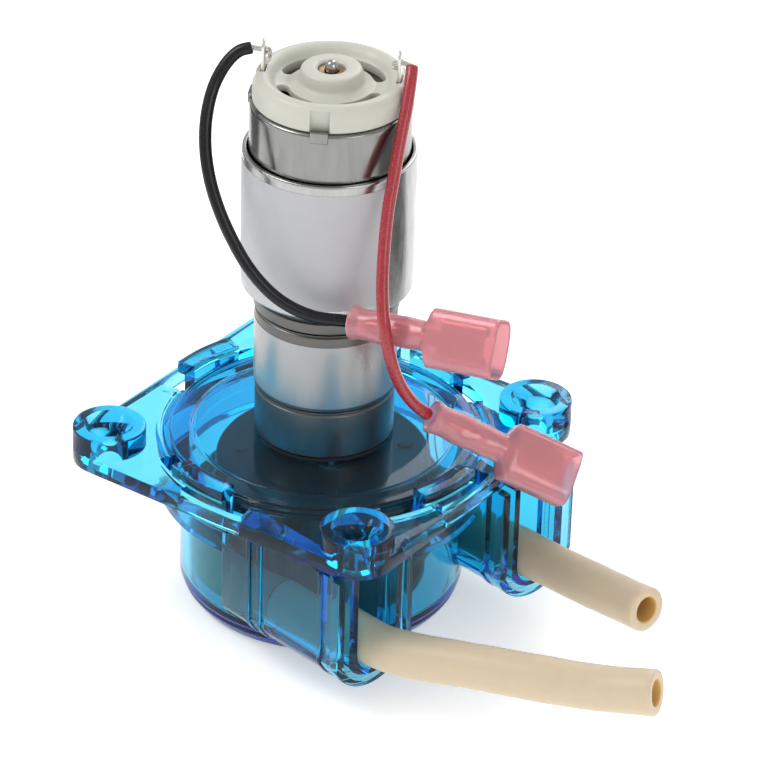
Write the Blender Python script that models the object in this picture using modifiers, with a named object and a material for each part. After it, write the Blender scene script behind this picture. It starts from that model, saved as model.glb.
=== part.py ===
"""Peristaltic pump: clear twist-lock tubing head under a square mounting flange,
driven by an upright brushed motor with a three-stage planetary gearbox.

Units are metres and +Z is up.  The origin is the middle of the pump housing's
flat base, on the drive axis.  +X is the side of the flange where the tube
ports come out.
"""

import math

import bmesh
import bpy
from mathutils import Matrix, Vector

MM = 0.001
GAP = 0.3 * MM                      # clearance between pieces that touch

# --- mounting flange -------------------------------------------------------
FLANGE_TOP = 28.0 * MM              # upper face of the plate above the base
FLANGE_THICK = 2.7 * MM
FLANGE_BOTTOM = FLANGE_TOP - FLANGE_THICK
BOSS_PITCH = 47.2 * MM              # spacing of the four screw bosses
BOSS_RADIUS = 5.7 * MM
BOSS_TOP = 31.3 * MM
BOSS_BORE = 2.1 * MM
BOSS_RECESS = 3.7 * MM
DISC_RADIUS = 24.0 * MM             # raised disc that carries the gearbox
DISC_RISE = 0.4 * MM
SHAFT_OPENING = 4.4 * MM

# --- twist lock ------------------------------------------------------------
HEAD_TURN = math.radians(-9.0)      # how far the head is turned in the flange
LUG_COUNT = 4
LUG_CENTRE = math.radians(0.3)      # lug centre from each axis, in the head's frame
LUG_HALF = math.radians(11.3)
LUG_INNER = 24.5 * MM
STEM_OUTER = 26.4 * MM
HOOK_OUTER = 27.7 * MM
HOOK_TOP = 30.5 * MM
SLOT_INNER = 24.2 * MM
SLOT_NARROW = 26.8 * MM
SLOT_WIDE = 28.2 * MM
SLOT_START = math.radians(-33.0)
SLOT_STEP = math.radians(-14.0)
SLOT_END = math.radians(10.5)

# --- pump housing ----------------------------------------------------------
CUP_RADIUS = 22.3 * MM
RACEWAY_RADIUS = 21.0 * MM
FLOOR = 2.6 * MM
COLLAR_RADIUS = 25.6 * MM
COLLAR_BOTTOM = 18.1 * MM
PORT_OFFSET = 17.8 * MM             # port centre line from the drive axis
PORT_HALF = 8.0 * MM
PORT_END = 29.6 * MM
PORT_TOP = FLANGE_BOTTOM - GAP - 0.1 * MM
PORT_SPRING = 8.9 * MM              # where the rounded bottom of the port starts
PORT_SAG = 5.3 * MM
CHANNEL_HALF = 4.05 * MM
POCKET_HALF = 3.8 * MM              # room for the squeezed tube as it leaves the raceway
POCKET_FLOOR = 4.85 * MM
TUBE_LEVEL = 10.4 * MM

# --- tubing ----------------------------------------------------------------
TUBE_RADIUS = 3.5 * MM
TUBE_LINE = 17.5 * MM
TUBE_SPLIT = 10.9 * MM              # where the loop ends and the tube ends begin
LOOP_RADIAL = 2.8 * MM              # the squeezed tube's thickness
LOOP_HEIGHT = 10.6 * MM
LOOP_MIDDLE = RACEWAY_RADIUS - GAP - LOOP_RADIAL / 2

# Free ends of the tubing, millimetres in the head's own frame, from the split outwards.
INLET_ROUTE = [
    (11.2, -17.5, 10.4), (17.0, -17.5, 10.4), (23.0, -17.5, 10.4), (29.4, -17.5, 10.4),
    (33.4, -17.1, 10.8), (38.6, -15.7, 11.5), (46.0, -12.8, 12.4), (54.4, -9.0, 12.9), (62.9, -4.7, 13.4),
    (71.3, -0.9, 14.9),
]
OUTLET_ROUTE = [
    (11.2, 17.5, 10.4), (17.0, 17.5, 10.4), (23.0, 17.5, 10.4), (29.6, 17.5, 10.5),
    (37.2, 17.5, 10.9), (45.4, 17.2, 11.7), (53.6, 16.7, 12.8),
]

# --- rotor -----------------------------------------------------------------
ROLLER_COUNT = 4
ROLLER_START = math.radians(41.0)
ROLLER_RADIUS = 4.6 * MM
ROLLER_CIRCLE = 12.8 * MM
ROLLER_BOTTOM = 4.9 * MM
ROLLER_TOP = 20.5 * MM
ROTOR_RADIUS = 16.4 * MM
HUB_RADIUS = 6.4 * MM
LOWER_PLATE = (3.2 * MM, 4.6 * MM)
UPPER_PLATE = (20.8 * MM, 24.0 * MM)
PIN_RADIUS = 1.2 * MM

# --- gearbox ---------------------------------------------------------------
GEARBOX_RADIUS = 11.0 * MM
GEARBOX_BOTTOM = 29.0 * MM
FRONT_SEAM = 37.2 * MM
REAR_SEAM = 51.1 * MM
MODULE = 0.38 * MM
SUN_TEETH = 12
PLANET_TEETH = 18
RING_TEETH = 48
PLANET_CIRCLE = MODULE * (SUN_TEETH + PLANET_TEETH) / 2
STAGE_TOP = 50.8 * MM
STAGE_PITCH = 4.5 * MM
GEAR_WIDTH = 2.6 * MM
CARRIER_THICK = 1.3 * MM
CARRIER_RADIUS = 8.2 * MM
PLANET_PIN = 0.7 * MM
OUTPUT_SHAFT_RADIUS = 2.0 * MM
OUTPUT_JOURNAL = 2.9 * MM
OUTPUT_SHAFT_END = 7.5 * MM

# --- gearbox screws --------------------------------------------------------
SCREW_RADIUS = 1.2 * MM
SCREW_HEAD = 2.2 * MM
SCREW_HOLE = 1.5 * MM
SCREW_POCKET = 2.5 * MM
SCREW_SEAT = FLANGE_BOTTOM + 1.5 * MM
SCREW_TIP = 33.8 * MM

# --- motor -----------------------------------------------------------------
MOTOR_BOTTOM = 55.1 * MM
CAN_RADIUS = 12.2 * MM
CAN_WALL = 0.8 * MM
CAN_TOP = 85.7 * MM
SLEEVE_RADIUS = 13.2 * MM
SLEEVE_BOTTOM = 54.9 * MM
SLEEVE_TOP = 77.7 * MM
CAP_RADIUS = 11.8 * MM
CAP_TOP = 90.0 * MM
CAP_WEB = 88.5 * MM
CAP_BOSS = 4.7 * MM
CAP_BOSS_TOP = 91.0 * MM
MOTOR_SHAFT = 1.0 * MM
SHAFT_TIP = 92.0 * MM
TERMINAL_ANGLE = math.radians(28.0)
TERMINAL_RADIUS = 10.2 * MM

# --- leads and connectors --------------------------------------------------
LEAD_RADIUS = 0.95 * MM
BLACK_ROUTE = [
    (-10.6, -5.6, 93.0), (-12.2, -6.9, 92.3), (-13.4, -8.7, 90.2), (-13.8, -11.0, 87.0),
    (-12.9, -13.7, 83.0), (-11.0, -16.0, 78.6), (-8.2, -17.6, 73.8), (-4.6, -18.3, 68.6),
    (-0.6, -18.2, 63.8), (3.6, -16.9, 60.0), (8.0, -14.5, 57.7), (12.6, -11.3, 57.0),
]
RED_ROUTE = [
    (10.9, 5.2, 92.4), (11.8, 3.6, 91.0), (12.8, 1.4, 88.0), (13.7, -1.2, 84.2),
    (14.6, -3.9, 79.4), (15.4, -6.4, 74.4), (16.6, -8.8, 69.3), (18.4, -11.5, 64.9),
    (20.4, -13.6, 60.3), (21.5, -13.4, 55.1), (21.7, -11.1, 49.6), (22.4, -8.3, 45.1),
    (23.7, -6.0, 42.3),
]
BLACK_CONNECTOR = ((12.9, -11.1, 56.9), (37.0, -7.4, 59.2))
RED_CONNECTOR = ((23.9, -5.7, 42.1), (39.4, 7.3, 31.0))
CONNECTOR_TILT = {"black": math.radians(62.0), "red": math.radians(48.0)}
CONNECTOR_LENGTH = 24.5 * MM
BARREL_LENGTH = 12.8 * MM
BARREL_RADIUS = 2.3 * MM
HOUSING_WIDE = 9.0 * MM
HOUSING_THICK = 5.2 * MM

# --- colours: base colour, roughness, metallic -----------------------------
FINISHES = {
    "clear_blue": ((0.08, 0.52, 0.85), 0.10, 0.0),
    "tube_cream": ((0.74, 0.60, 0.38), 0.45, 0.0),
    "rotor_black": ((0.03, 0.03, 0.035), 0.45, 0.0),
    "steel": ((0.42, 0.42, 0.41), 0.30, 1.0),
    "dark_steel": ((0.20, 0.20, 0.20), 0.38, 1.0),
    "bronze": ((0.50, 0.32, 0.16), 0.35, 1.0),
    "brass": ((0.72, 0.55, 0.28), 0.28, 1.0),
    "copper": ((0.72, 0.30, 0.14), 0.35, 1.0),
    "magnet": ((0.06, 0.06, 0.07), 0.60, 0.0),
    "nylon": ((0.70, 0.71, 0.62), 0.50, 0.0),
    "rubber": ((0.02, 0.02, 0.02), 0.70, 0.0),
    "carbon": ((0.05, 0.05, 0.05), 0.55, 0.0),
    "lead_black": ((0.02, 0.02, 0.022), 0.35, 0.0),
    "lead_red": ((0.42, 0.05, 0.07), 0.30, 0.0),
    "sleeve_pink": ((0.80, 0.30, 0.34), 0.35, 0.0),
    "gear": ((0.60, 0.58, 0.50), 0.35, 1.0),
}

for old in list(bpy.data.objects):
    bpy.data.objects.remove(old)

pump = bpy.data.collections.new("peristaltic_pump")
cutters = bpy.data.collections.new("cutters")
bpy.context.scene.collection.children.link(pump)
bpy.context.scene.collection.children.link(cutters)


def finish_material(finish):
    """The Principled material of a finish, made once."""
    found = bpy.data.materials.get(finish)
    if found:
        return found
    colour, roughness, metallic = FINISHES[finish]
    made = bpy.data.materials.new(finish)
    made.use_nodes = True
    shader = made.node_tree.nodes["Principled BSDF"]
    shader.inputs["Base Color"].default_value = (*colour, 1.0)
    shader.inputs["Roughness"].default_value = roughness
    shader.inputs["Metallic"].default_value = metallic
    return made


def place(mesh, name, finish=None):
    """An object for the mesh: a part where a finish is given, else a cutter."""
    made = bpy.data.objects.new(name, mesh)
    if finish:
        mesh.materials.clear()
        mesh.materials.append(finish_material(finish))
        pump.objects.link(made)
    else:
        made.hide_render = True
        made.display_type = "WIRE"
        cutters.objects.link(made)
    return made


def smooth(made, degrees=32.0):
    """Smooth shading with sharp edges kept."""
    made.data.shade_smooth()
    made.data.set_sharp_from_angle(angle=math.radians(degrees))


def mesh_of_curve(curve, name):
    """The welded mesh of a curve, whose caps are loose."""
    temporary = bpy.data.objects.new(name + "_curve", curve)
    bpy.context.scene.collection.objects.link(temporary)
    graph = bpy.context.evaluated_depsgraph_get()
    mesh = bpy.data.meshes.new_from_object(temporary.evaluated_get(graph))
    mesh.name = name
    bpy.data.objects.remove(temporary)
    work = bmesh.new()
    work.from_mesh(mesh)
    bmesh.ops.remove_doubles(work, verts=work.verts, dist=1e-6)
    bmesh.ops.recalc_face_normals(work, faces=work.faces)
    work.to_mesh(mesh)
    work.free()
    return mesh


def prism(name, outlines, low, high, finish=None, turn=None):
    """A flat outline with its holes, between two levels, turned by a matrix."""
    curve = bpy.data.curves.new(name, "CURVE")
    curve.dimensions = "2D"
    curve.fill_mode = "BOTH"
    curve.extrude = (high - low) / 2
    for outline in outlines:
        spline = curve.splines.new("POLY")
        spline.points.add(len(outline) - 1)
        spline.use_cyclic_u = True
        for point, (x, y) in zip(spline.points, outline):
            point.co = (x, y, 0.0, 1.0)
    mesh = mesh_of_curve(curve, name)
    mesh.transform(Matrix.Translation((0.0, 0.0, (low + high) / 2)))
    if turn is not None:
        mesh.transform(turn)
    return place(mesh, name, finish)


def turned(name, profile, finish=None, steps=28, centre=(0.0, 0.0), hollow=False):
    """A turned body: (radius, level) points down its outer side, about a vertical axis."""
    mesh = bpy.data.meshes.new(name)
    points = [(r, 0.0, z) for r, z in profile]
    edges = [(i, i + 1) for i in range(len(points) - 1)]
    if hollow:
        edges.append((len(points) - 1, 0))
    mesh.from_pydata(points, edges, [])
    made = place(mesh, name, finish)
    made.location = (centre[0], centre[1], 0.0)
    screw = made.modifiers.new("turn", "SCREW")
    screw.axis = "Z"
    screw.steps = steps
    screw.render_steps = steps
    screw.use_merge_vertices = True
    screw.merge_threshold = 1e-6
    screw.use_smooth_shade = finish is not None
    return made


def ring(name, inner, outer, low, high, finish=None, steps=28, centre=(0.0, 0.0)):
    """A plain tube between two radii and two levels."""
    profile = [(outer, high), (outer, low), (inner, low), (inner, high)]
    return turned(name, profile, finish, steps, centre, hollow=True)


def cylinder(name, radius, low, high, finish=None, steps=16, centre=(0.0, 0.0)):
    """A plain upright cylinder."""
    work = bmesh.new()
    bmesh.ops.create_cone(work, cap_ends=True, segments=steps, radius1=radius, radius2=radius,
                          depth=high - low)
    mesh = bpy.data.meshes.new(name)
    work.to_mesh(mesh)
    work.free()
    mesh.transform(Matrix.Translation((centre[0], centre[1], (low + high) / 2)))
    return place(mesh, name, finish)


def block(name, low, high, finish=None, turn=0.0):
    """An upright box between two corners, turned about the drive axis."""
    work = bmesh.new()
    bmesh.ops.create_cube(work, size=1.0)
    size = [b - a for a, b in zip(low, high)]
    middle = [(a + b) / 2 for a, b in zip(low, high)]
    mesh = bpy.data.meshes.new(name)
    work.to_mesh(mesh)
    work.free()
    mesh.transform(Matrix.Translation(middle) @ Matrix.Diagonal((*size, 1.0)))
    mesh.transform(Matrix.Rotation(turn, 4, "Z"))
    return place(mesh, name, finish)


def combine(made, other, operation):
    """Cut or join one object with another by an exact Boolean."""
    boolean = made.modifiers.new(other.name, "BOOLEAN")
    boolean.operation = operation
    boolean.object = other
    boolean.solver = "EXACT"


def circle(radius, count, centre=(0.0, 0.0), start=0.0):
    """Points round a circle."""
    angles = [start + 2 * math.pi * i / count for i in range(count)]
    return [(centre[0] + radius * math.cos(a), centre[1] + radius * math.sin(a)) for a in angles]


def arc(radius, first, last, count, centre=(0.0, 0.0)):
    """Points along an arc, both ends in."""
    angles = [first + (last - first) * i / (count - 1) for i in range(count)]
    return [(centre[0] + radius * math.cos(a), centre[1] + radius * math.sin(a)) for a in angles]


def sector(inner, outer, first, last, count):
    """The outline of a piece of a flat ring."""
    return arc(outer, first, last, count) + arc(inner, last, first, count)


def smooth_route(route, spacing):
    """Evenly spaced points on a Catmull-Rom curve through a route in millimetres."""
    nodes = [Vector(p) * MM for p in route]
    nodes = [nodes[0] * 2 - nodes[1]] + nodes + [nodes[-1] * 2 - nodes[-2]]
    dense = []
    for i in range(1, len(nodes) - 2):
        a, b, c, d = nodes[i - 1:i + 3]
        for step in range(24):
            t = step / 24
            dense.append(0.5 * (2 * b + (c - a) * t + (2 * a - 5 * b + 4 * c - d) * t ** 2
                                + (3 * b - a - 3 * c + d) * t ** 3))
    dense.append(nodes[-2])
    total = sum((q - p).length for p, q in zip(dense, dense[1:]))
    count = max(2, round(total / spacing))
    points = [dense[0]]
    walked = 0.0
    for p, q in zip(dense, dense[1:]):
        length = (q - p).length
        while len(points) < count and walked + length >= total * len(points) / count:
            share = (total * len(points) / count - walked) / length
            points.append(p.lerp(q, share))
        walked += length
    points.append(dense[-1])
    return points


def cable(name, route, radius, finish, resolution, turn=None):
    """A round cord or tube along a route, as a filled bevelled curve."""
    curve = bpy.data.curves.new(name, "CURVE")
    curve.dimensions = "3D"
    curve.bevel_depth = radius
    curve.bevel_resolution = resolution
    curve.use_fill_caps = True
    spline = curve.splines.new("POLY")
    points = smooth_route(route, radius * 5)
    spline.points.add(len(points) - 1)
    for target, point in zip(spline.points, points):
        target.co = (*point, 1.0)
    curve.materials.append(finish_material(finish))
    made = bpy.data.objects.new(name, curve)
    if turn is not None:
        made.matrix_world = turn
    pump.objects.link(made)
    return made


# ---------------------------------------------------------------------------
# Mounting flange
# ---------------------------------------------------------------------------

def corner_centres():
    """Boss centres, one in each corner of the flange."""
    half = BOSS_PITCH / 2
    return [(half, half), (-half, half), (-half, -half), (half, -half)]


def flange_outline():
    """Square with its corners rounded about the bosses."""
    outline = []
    for index, centre in enumerate(corner_centres()):
        first = index * math.pi / 2
        outline += arc(BOSS_RADIUS, first, first + math.pi / 2, 5, centre)
    return outline


def lock_slot(quarter):
    """The stepped arc slot that one lug turns in."""
    base = quarter * math.pi / 2
    outer = arc(SLOT_NARROW, base + SLOT_START, base + SLOT_STEP, 4)
    outer += arc(SLOT_WIDE, base + SLOT_STEP, base + SLOT_END, 5)
    return outer + arc(SLOT_INNER, base + SLOT_END, base + SLOT_START, 7)


GEARBOX_SCREWS = circle(8.2 * MM, 4, start=math.radians(45.0))


def build_flange():
    """Square plate, raised disc, four bosses, twist-lock slots and screw holes."""
    outlines = [flange_outline()] + [lock_slot(quarter) for quarter in range(LUG_COUNT)]
    flange = prism("mounting_flange", outlines, FLANGE_BOTTOM, FLANGE_TOP, "clear_blue")
    disc = cylinder("raised_disc", DISC_RADIUS, FLANGE_TOP - 0.5 * MM, FLANGE_TOP + DISC_RISE, None, 36)
    combine(flange, disc, "UNION")
    for index, centre in enumerate(corner_centres()):
        boss = cylinder(f"boss_{index}", BOSS_RADIUS - 0.02 * MM, FLANGE_TOP - 1.0 * MM, BOSS_TOP, None, 20,
                        centre)
        combine(flange, boss, "UNION")
    for index, centre in enumerate(corner_centres()):
        recess_profile = [
            (0.0, BOSS_TOP + 1.0 * MM), (BOSS_RECESS, BOSS_TOP + 1.0 * MM), (BOSS_RECESS, BOSS_TOP),
            (BOSS_BORE, BOSS_TOP - 1.6 * MM), (BOSS_BORE, FLANGE_BOTTOM - 1.0 * MM),
            (0.0, FLANGE_BOTTOM - 1.0 * MM),
        ]
        bore = turned(f"boss_bore_{index}", recess_profile, None, 12, centre)
        combine(flange, bore, "DIFFERENCE")
    opening = cylinder("shaft_opening", SHAFT_OPENING, FLANGE_BOTTOM - 1.0 * MM, FLANGE_TOP + 1.0 * MM)
    combine(flange, opening, "DIFFERENCE")
    for index, centre in enumerate(GEARBOX_SCREWS):
        pocket_profile = [
            (0.0, FLANGE_TOP + 1.0 * MM), (SCREW_HOLE, FLANGE_TOP + 1.0 * MM), (SCREW_HOLE, SCREW_SEAT),
            (SCREW_POCKET, SCREW_SEAT), (SCREW_POCKET, FLANGE_BOTTOM - 1.0 * MM),
            (0.0, FLANGE_BOTTOM - 1.0 * MM),
        ]
        pocket = turned(f"screw_pocket_{index}", pocket_profile, None, 10, centre)
        combine(flange, pocket, "DIFFERENCE")
    smooth(flange)


# ---------------------------------------------------------------------------
# Pump housing, turned in the flange by HEAD_TURN
# ---------------------------------------------------------------------------

def head_turn():
    """The head's turn about the drive axis."""
    return Matrix.Rotation(HEAD_TURN, 4, "Z")


def u_outline(half, top, spring, sag, count=9):
    """A U: straight sides and a rounded bottom, as (across, up) points."""
    radius = (half * half + sag * sag) / (2 * sag)
    spread = math.asin(half / radius)
    middle = spring - sag + radius
    bottom = []
    for i in range(count):
        angle = -math.pi / 2 - spread + 2 * spread * i / (count - 1)
        bottom.append((radius * math.cos(angle), middle + radius * math.sin(angle)))
    return [(half, top), (-half, top)] + bottom


def along_port(side):
    """Lay a (across, up) prism, extruded along its own Z, down a port's length."""
    lay = Matrix(((0, 0, 1, 0), (1, 0, 0, side * PORT_OFFSET), (0, 1, 0, 0), (0, 0, 0, 1)))
    return head_turn() @ lay


def lug(quarter):
    """An L-shaped lock lug: a stem up through its slot and a hook out over the flange."""
    base = quarter * math.pi / 2 + LUG_CENTRE
    stem_span = sector(LUG_INNER, STEM_OUTER, base - LUG_HALF, base + LUG_HALF, 5)
    stem = prism(f"lug_{quarter}", [stem_span], FLANGE_BOTTOM - 3.0 * MM, HOOK_TOP - 1.0 * MM, None,
                 head_turn())
    hook_half = LUG_HALF + 0.002
    hook_span = sector(LUG_INNER - 0.03 * MM, HOOK_OUTER, base - hook_half, base + hook_half, 5)
    hook = prism(f"lug_hook_{quarter}", [hook_span], FLANGE_TOP + GAP, HOOK_TOP, None, head_turn())
    combine(stem, hook, "UNION")
    return stem


def build_housing():
    """Cup with its collar, the two tube ports, the raceway and the four lugs."""
    profile = [
        (COLLAR_RADIUS, FLANGE_BOTTOM - GAP), (COLLAR_RADIUS, COLLAR_BOTTOM),
        (CUP_RADIUS, COLLAR_BOTTOM), (CUP_RADIUS, 1.0 * MM), (CUP_RADIUS - 1.0 * MM, 0.0),
        (0.0, 0.0),
    ]
    housing = turned("pump_housing", [(0.0, FLANGE_BOTTOM - GAP)] + profile, "clear_blue", 40)
    for side in (-1, 1):
        port = prism(f"port_{side}", [u_outline(PORT_HALF, PORT_TOP, PORT_SPRING, PORT_SAG)],
                     4.0 * MM, PORT_END, None, along_port(side))
        combine(housing, port, "UNION")
    for quarter in range(LUG_COUNT):
        combine(housing, lug(quarter), "UNION")
    cavity = cylinder("cavity", RACEWAY_RADIUS, FLOOR, FLANGE_BOTTOM + 1.0 * MM, None, 40)
    combine(housing, cavity, "DIFFERENCE")
    for side in (-1, 1):
        channel = prism(f"channel_{side}",
                        [u_outline(CHANNEL_HALF, PORT_TOP + 1.0 * MM, TUBE_LEVEL, CHANNEL_HALF * 0.98)],
                        3.0 * MM, PORT_END + 1.0 * MM, None,
                        along_port(side) @ Matrix.Translation((-side * (PORT_OFFSET - TUBE_LINE), 0, 0)))
        combine(housing, channel, "DIFFERENCE")
        half = POCKET_HALF
        pocket_outline = [(-half, POCKET_FLOOR), (half, POCKET_FLOOR), (half, PORT_TOP + 0.7 * MM),
                          (-half, PORT_TOP + 0.7 * MM)]
        pocket = prism(f"tube_pocket_{side}", [pocket_outline], 2.0 * MM, TUBE_SPLIT + 0.2 * MM, None,
                       along_port(side) @ Matrix.Translation((-side * (PORT_OFFSET - TUBE_LINE), 0, 0)))
        combine(housing, pocket, "DIFFERENCE")
        groove_outer = u_outline(6.6 * MM, PORT_TOP + 1.0 * MM, PORT_SPRING, 4.4 * MM)
        groove_inner = u_outline(5.3 * MM, PORT_TOP + 2.0 * MM, PORT_SPRING, 3.1 * MM)
        groove = prism(f"groove_{side}", [groove_outer], PORT_END - 2.5 * MM, PORT_END + 1.0 * MM,
                       None, along_port(side))
        core = prism(f"groove_core_{side}", [groove_inner], PORT_END - 3.5 * MM, PORT_END + 2.0 * MM,
                     None, along_port(side))
        combine(groove, core, "DIFFERENCE")
        combine(housing, groove, "DIFFERENCE")
    smooth(housing)


# ---------------------------------------------------------------------------
# Tubing
# ---------------------------------------------------------------------------

def loop_section(share):
    """The tube's oval section: fully squeezed at 0, nearly round at 1, as (out, up) points."""
    thick = LOOP_RADIAL + (2 * TUBE_RADIUS - 0.4 * MM - LOOP_RADIAL) * share ** 2
    height = LOOP_HEIGHT + (2 * TUBE_RADIUS - LOOP_HEIGHT) * share
    corner = thick / 2
    rise = max(height / 2 - corner, 0.02 * MM)
    section = []
    for sign, first in ((1, 0.0), (-1, math.pi)):
        for i in range(5):
            angle = first + math.pi * i / 4
            section.append((-corner + corner * math.cos(angle), sign * rise + corner * math.sin(angle)))
    return section


def build_tube_loop():
    """The squeezed tube along the raceway: a flat oval band round the back of the rotor."""
    outer = RACEWAY_RADIUS - GAP
    stations = []
    for i in (4, 3, 2, 1):
        reach = TUBE_SPLIT * i / 4
        stations.append((Vector((reach, -outer, 0.0)), Vector((0.0, -1.0, 0.0)), i / 4))
    for i in range(19):
        angle = -math.pi / 2 - math.pi * i / 18
        outwards = Vector((math.cos(angle), math.sin(angle), 0.0))
        stations.append((outwards * outer, outwards, 0.0))
    for i in (1, 2, 3, 4):
        reach = TUBE_SPLIT * i / 4
        stations.append((Vector((reach, outer, 0.0)), Vector((0.0, 1.0, 0.0)), i / 4))
    work = bmesh.new()
    rings = []
    for point, outwards, share in stations:
        rings.append([work.verts.new(point + outwards * u + Vector((0, 0, TUBE_LEVEL + v)))
                      for u, v in loop_section(share)])
    count = len(rings[0])
    for near, far in zip(rings, rings[1:]):
        for i in range(count):
            work.faces.new((near[i], near[(i + 1) % count], far[(i + 1) % count], far[i]))
    work.faces.new(rings[0])
    work.faces.new(rings[-1])
    bmesh.ops.recalc_face_normals(work, faces=work.faces)
    mesh = bpy.data.meshes.new("tube_loop")
    work.to_mesh(mesh)
    work.free()
    mesh.transform(head_turn())
    loop = place(mesh, "tube_loop", "tube_cream")
    smooth(loop, 50.0)


def build_tube_ends():
    """The two cut ends of the tubing, out through the ports."""
    cable("inlet_tube", INLET_ROUTE, TUBE_RADIUS, "tube_cream", 3, head_turn())
    cable("outlet_tube", OUTLET_ROUTE, TUBE_RADIUS, "tube_cream", 3, head_turn())


# ---------------------------------------------------------------------------
# Rotor
# ---------------------------------------------------------------------------

ROLLER_CENTRES = circle(ROLLER_CIRCLE, ROLLER_COUNT, start=ROLLER_START)


def build_rotor():
    """Hub with its upper plate, lower plate, rollers and their pins."""
    bore = OUTPUT_SHAFT_RADIUS + GAP
    floor_of_bore = OUTPUT_SHAFT_END - 0.5 * MM
    plate_outlines = [circle(ROTOR_RADIUS, 28)]
    plate_outlines += [circle(PIN_RADIUS + GAP, 8, centre) for centre in ROLLER_CENTRES]
    upper = prism("rotor_frame", plate_outlines, *UPPER_PLATE, "rotor_black")
    hub_bottom = LOWER_PLATE[1] + GAP
    hub_profile = [(0.0, UPPER_PLATE[0] + 0.5 * MM), (HUB_RADIUS, UPPER_PLATE[0] + 0.5 * MM),
                   (HUB_RADIUS, hub_bottom), (0.0, hub_bottom)]
    hub = turned("rotor_hub", hub_profile, None, 16)
    combine(upper, hub, "UNION")
    hole = cylinder("rotor_bore", bore, floor_of_bore, UPPER_PLATE[1] + 1.0 * MM, None, 12)
    combine(upper, hole, "DIFFERENCE")
    smooth(upper)
    lower = prism("rotor_lower_plate", plate_outlines, *LOWER_PLATE, "rotor_black")
    smooth(lower)
    for index, centre in enumerate(ROLLER_CENTRES, 1):
        edge = 0.6 * MM
        profile = [
            (ROLLER_RADIUS - edge, ROLLER_TOP), (ROLLER_RADIUS, ROLLER_TOP - edge),
            (ROLLER_RADIUS, ROLLER_BOTTOM + edge), (ROLLER_RADIUS - edge, ROLLER_BOTTOM),
            (PIN_RADIUS + GAP, ROLLER_BOTTOM), (PIN_RADIUS + GAP, ROLLER_TOP),
        ]
        turned(f"roller_{index}", profile, "rotor_black", 16, centre, hollow=True)
        pin = cylinder(f"roller_pin_{index}", PIN_RADIUS, LOWER_PLATE[0] + 0.1 * MM,
                       UPPER_PLATE[1] - 0.4 * MM, "steel", 8, centre)
        smooth(pin)


# ---------------------------------------------------------------------------
# Gearbox
# ---------------------------------------------------------------------------

def gear_outline(teeth, tooth_at_zero, internal=False):
    """Stub teeth with straight flanks, four points a tooth, thinned for backlash."""
    pitch_radius = MODULE * teeth / 2
    addendum = 0.30 * MM
    dedendum = 0.42 * MM
    pitch = 2 * math.pi / teeth
    backlash = 0.09 * MM / pitch_radius
    lean = 0.11 * MM / pitch_radius
    if internal:
        inner, outer = pitch_radius - addendum, pitch_radius + dedendum
    else:
        inner, outer = pitch_radius - dedendum, pitch_radius + addendum
    solid = pitch / 4 - backlash / 2 if not internal else pitch / 4 + backlash / 2
    tip_half = solid - lean
    root_half = solid + lean
    phase = 0.0 if tooth_at_zero else pitch / 2
    points = []
    for tooth in range(teeth):
        middle = phase + tooth * pitch
        corners = ((inner, -root_half), (outer, -tip_half), (outer, tip_half), (inner, root_half))
        for radius, offset in corners:
            points.append((radius * math.cos(middle + offset), radius * math.sin(middle + offset)))
    return points


def planet_centres():
    """Three planets round the sun, the first along +X."""
    return circle(PLANET_CIRCLE, 3)


def stage_levels(stage):
    """Top of the gears, their bottom, and the carrier plate's bottom, of a stage from 0."""
    top = STAGE_TOP - stage * STAGE_PITCH
    return top, top - GEAR_WIDTH, top - GEAR_WIDTH - GAP - CARRIER_THICK


def carrier_disc(name, stage, finish):
    """A carrier plate with its three planet pins."""
    top, gear_bottom, plate_bottom = stage_levels(stage)
    plate = cylinder(name, CARRIER_RADIUS, plate_bottom, gear_bottom - GAP, finish, 20)
    for index, centre in enumerate(planet_centres()):
        pin = cylinder(f"{name}_pin_{index}", PLANET_PIN, plate_bottom + 0.5 * MM, top, None, 8, centre)
        combine(plate, pin, "UNION")
    return plate


def build_planets(stage):
    """The three planet gears of a stage."""
    top, gear_bottom, _ = stage_levels(stage)
    for index, centre in enumerate(planet_centres(), 1):
        outline = [(x + centre[0], y + centre[1]) for x, y in gear_outline(PLANET_TEETH, True)]
        bore = circle(PLANET_PIN + GAP, 8, centre)
        planet = prism(f"planet_{stage + 1}_{index}", [outline, bore], gear_bottom, top, "gear")
        smooth(planet, 20.0)


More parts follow.
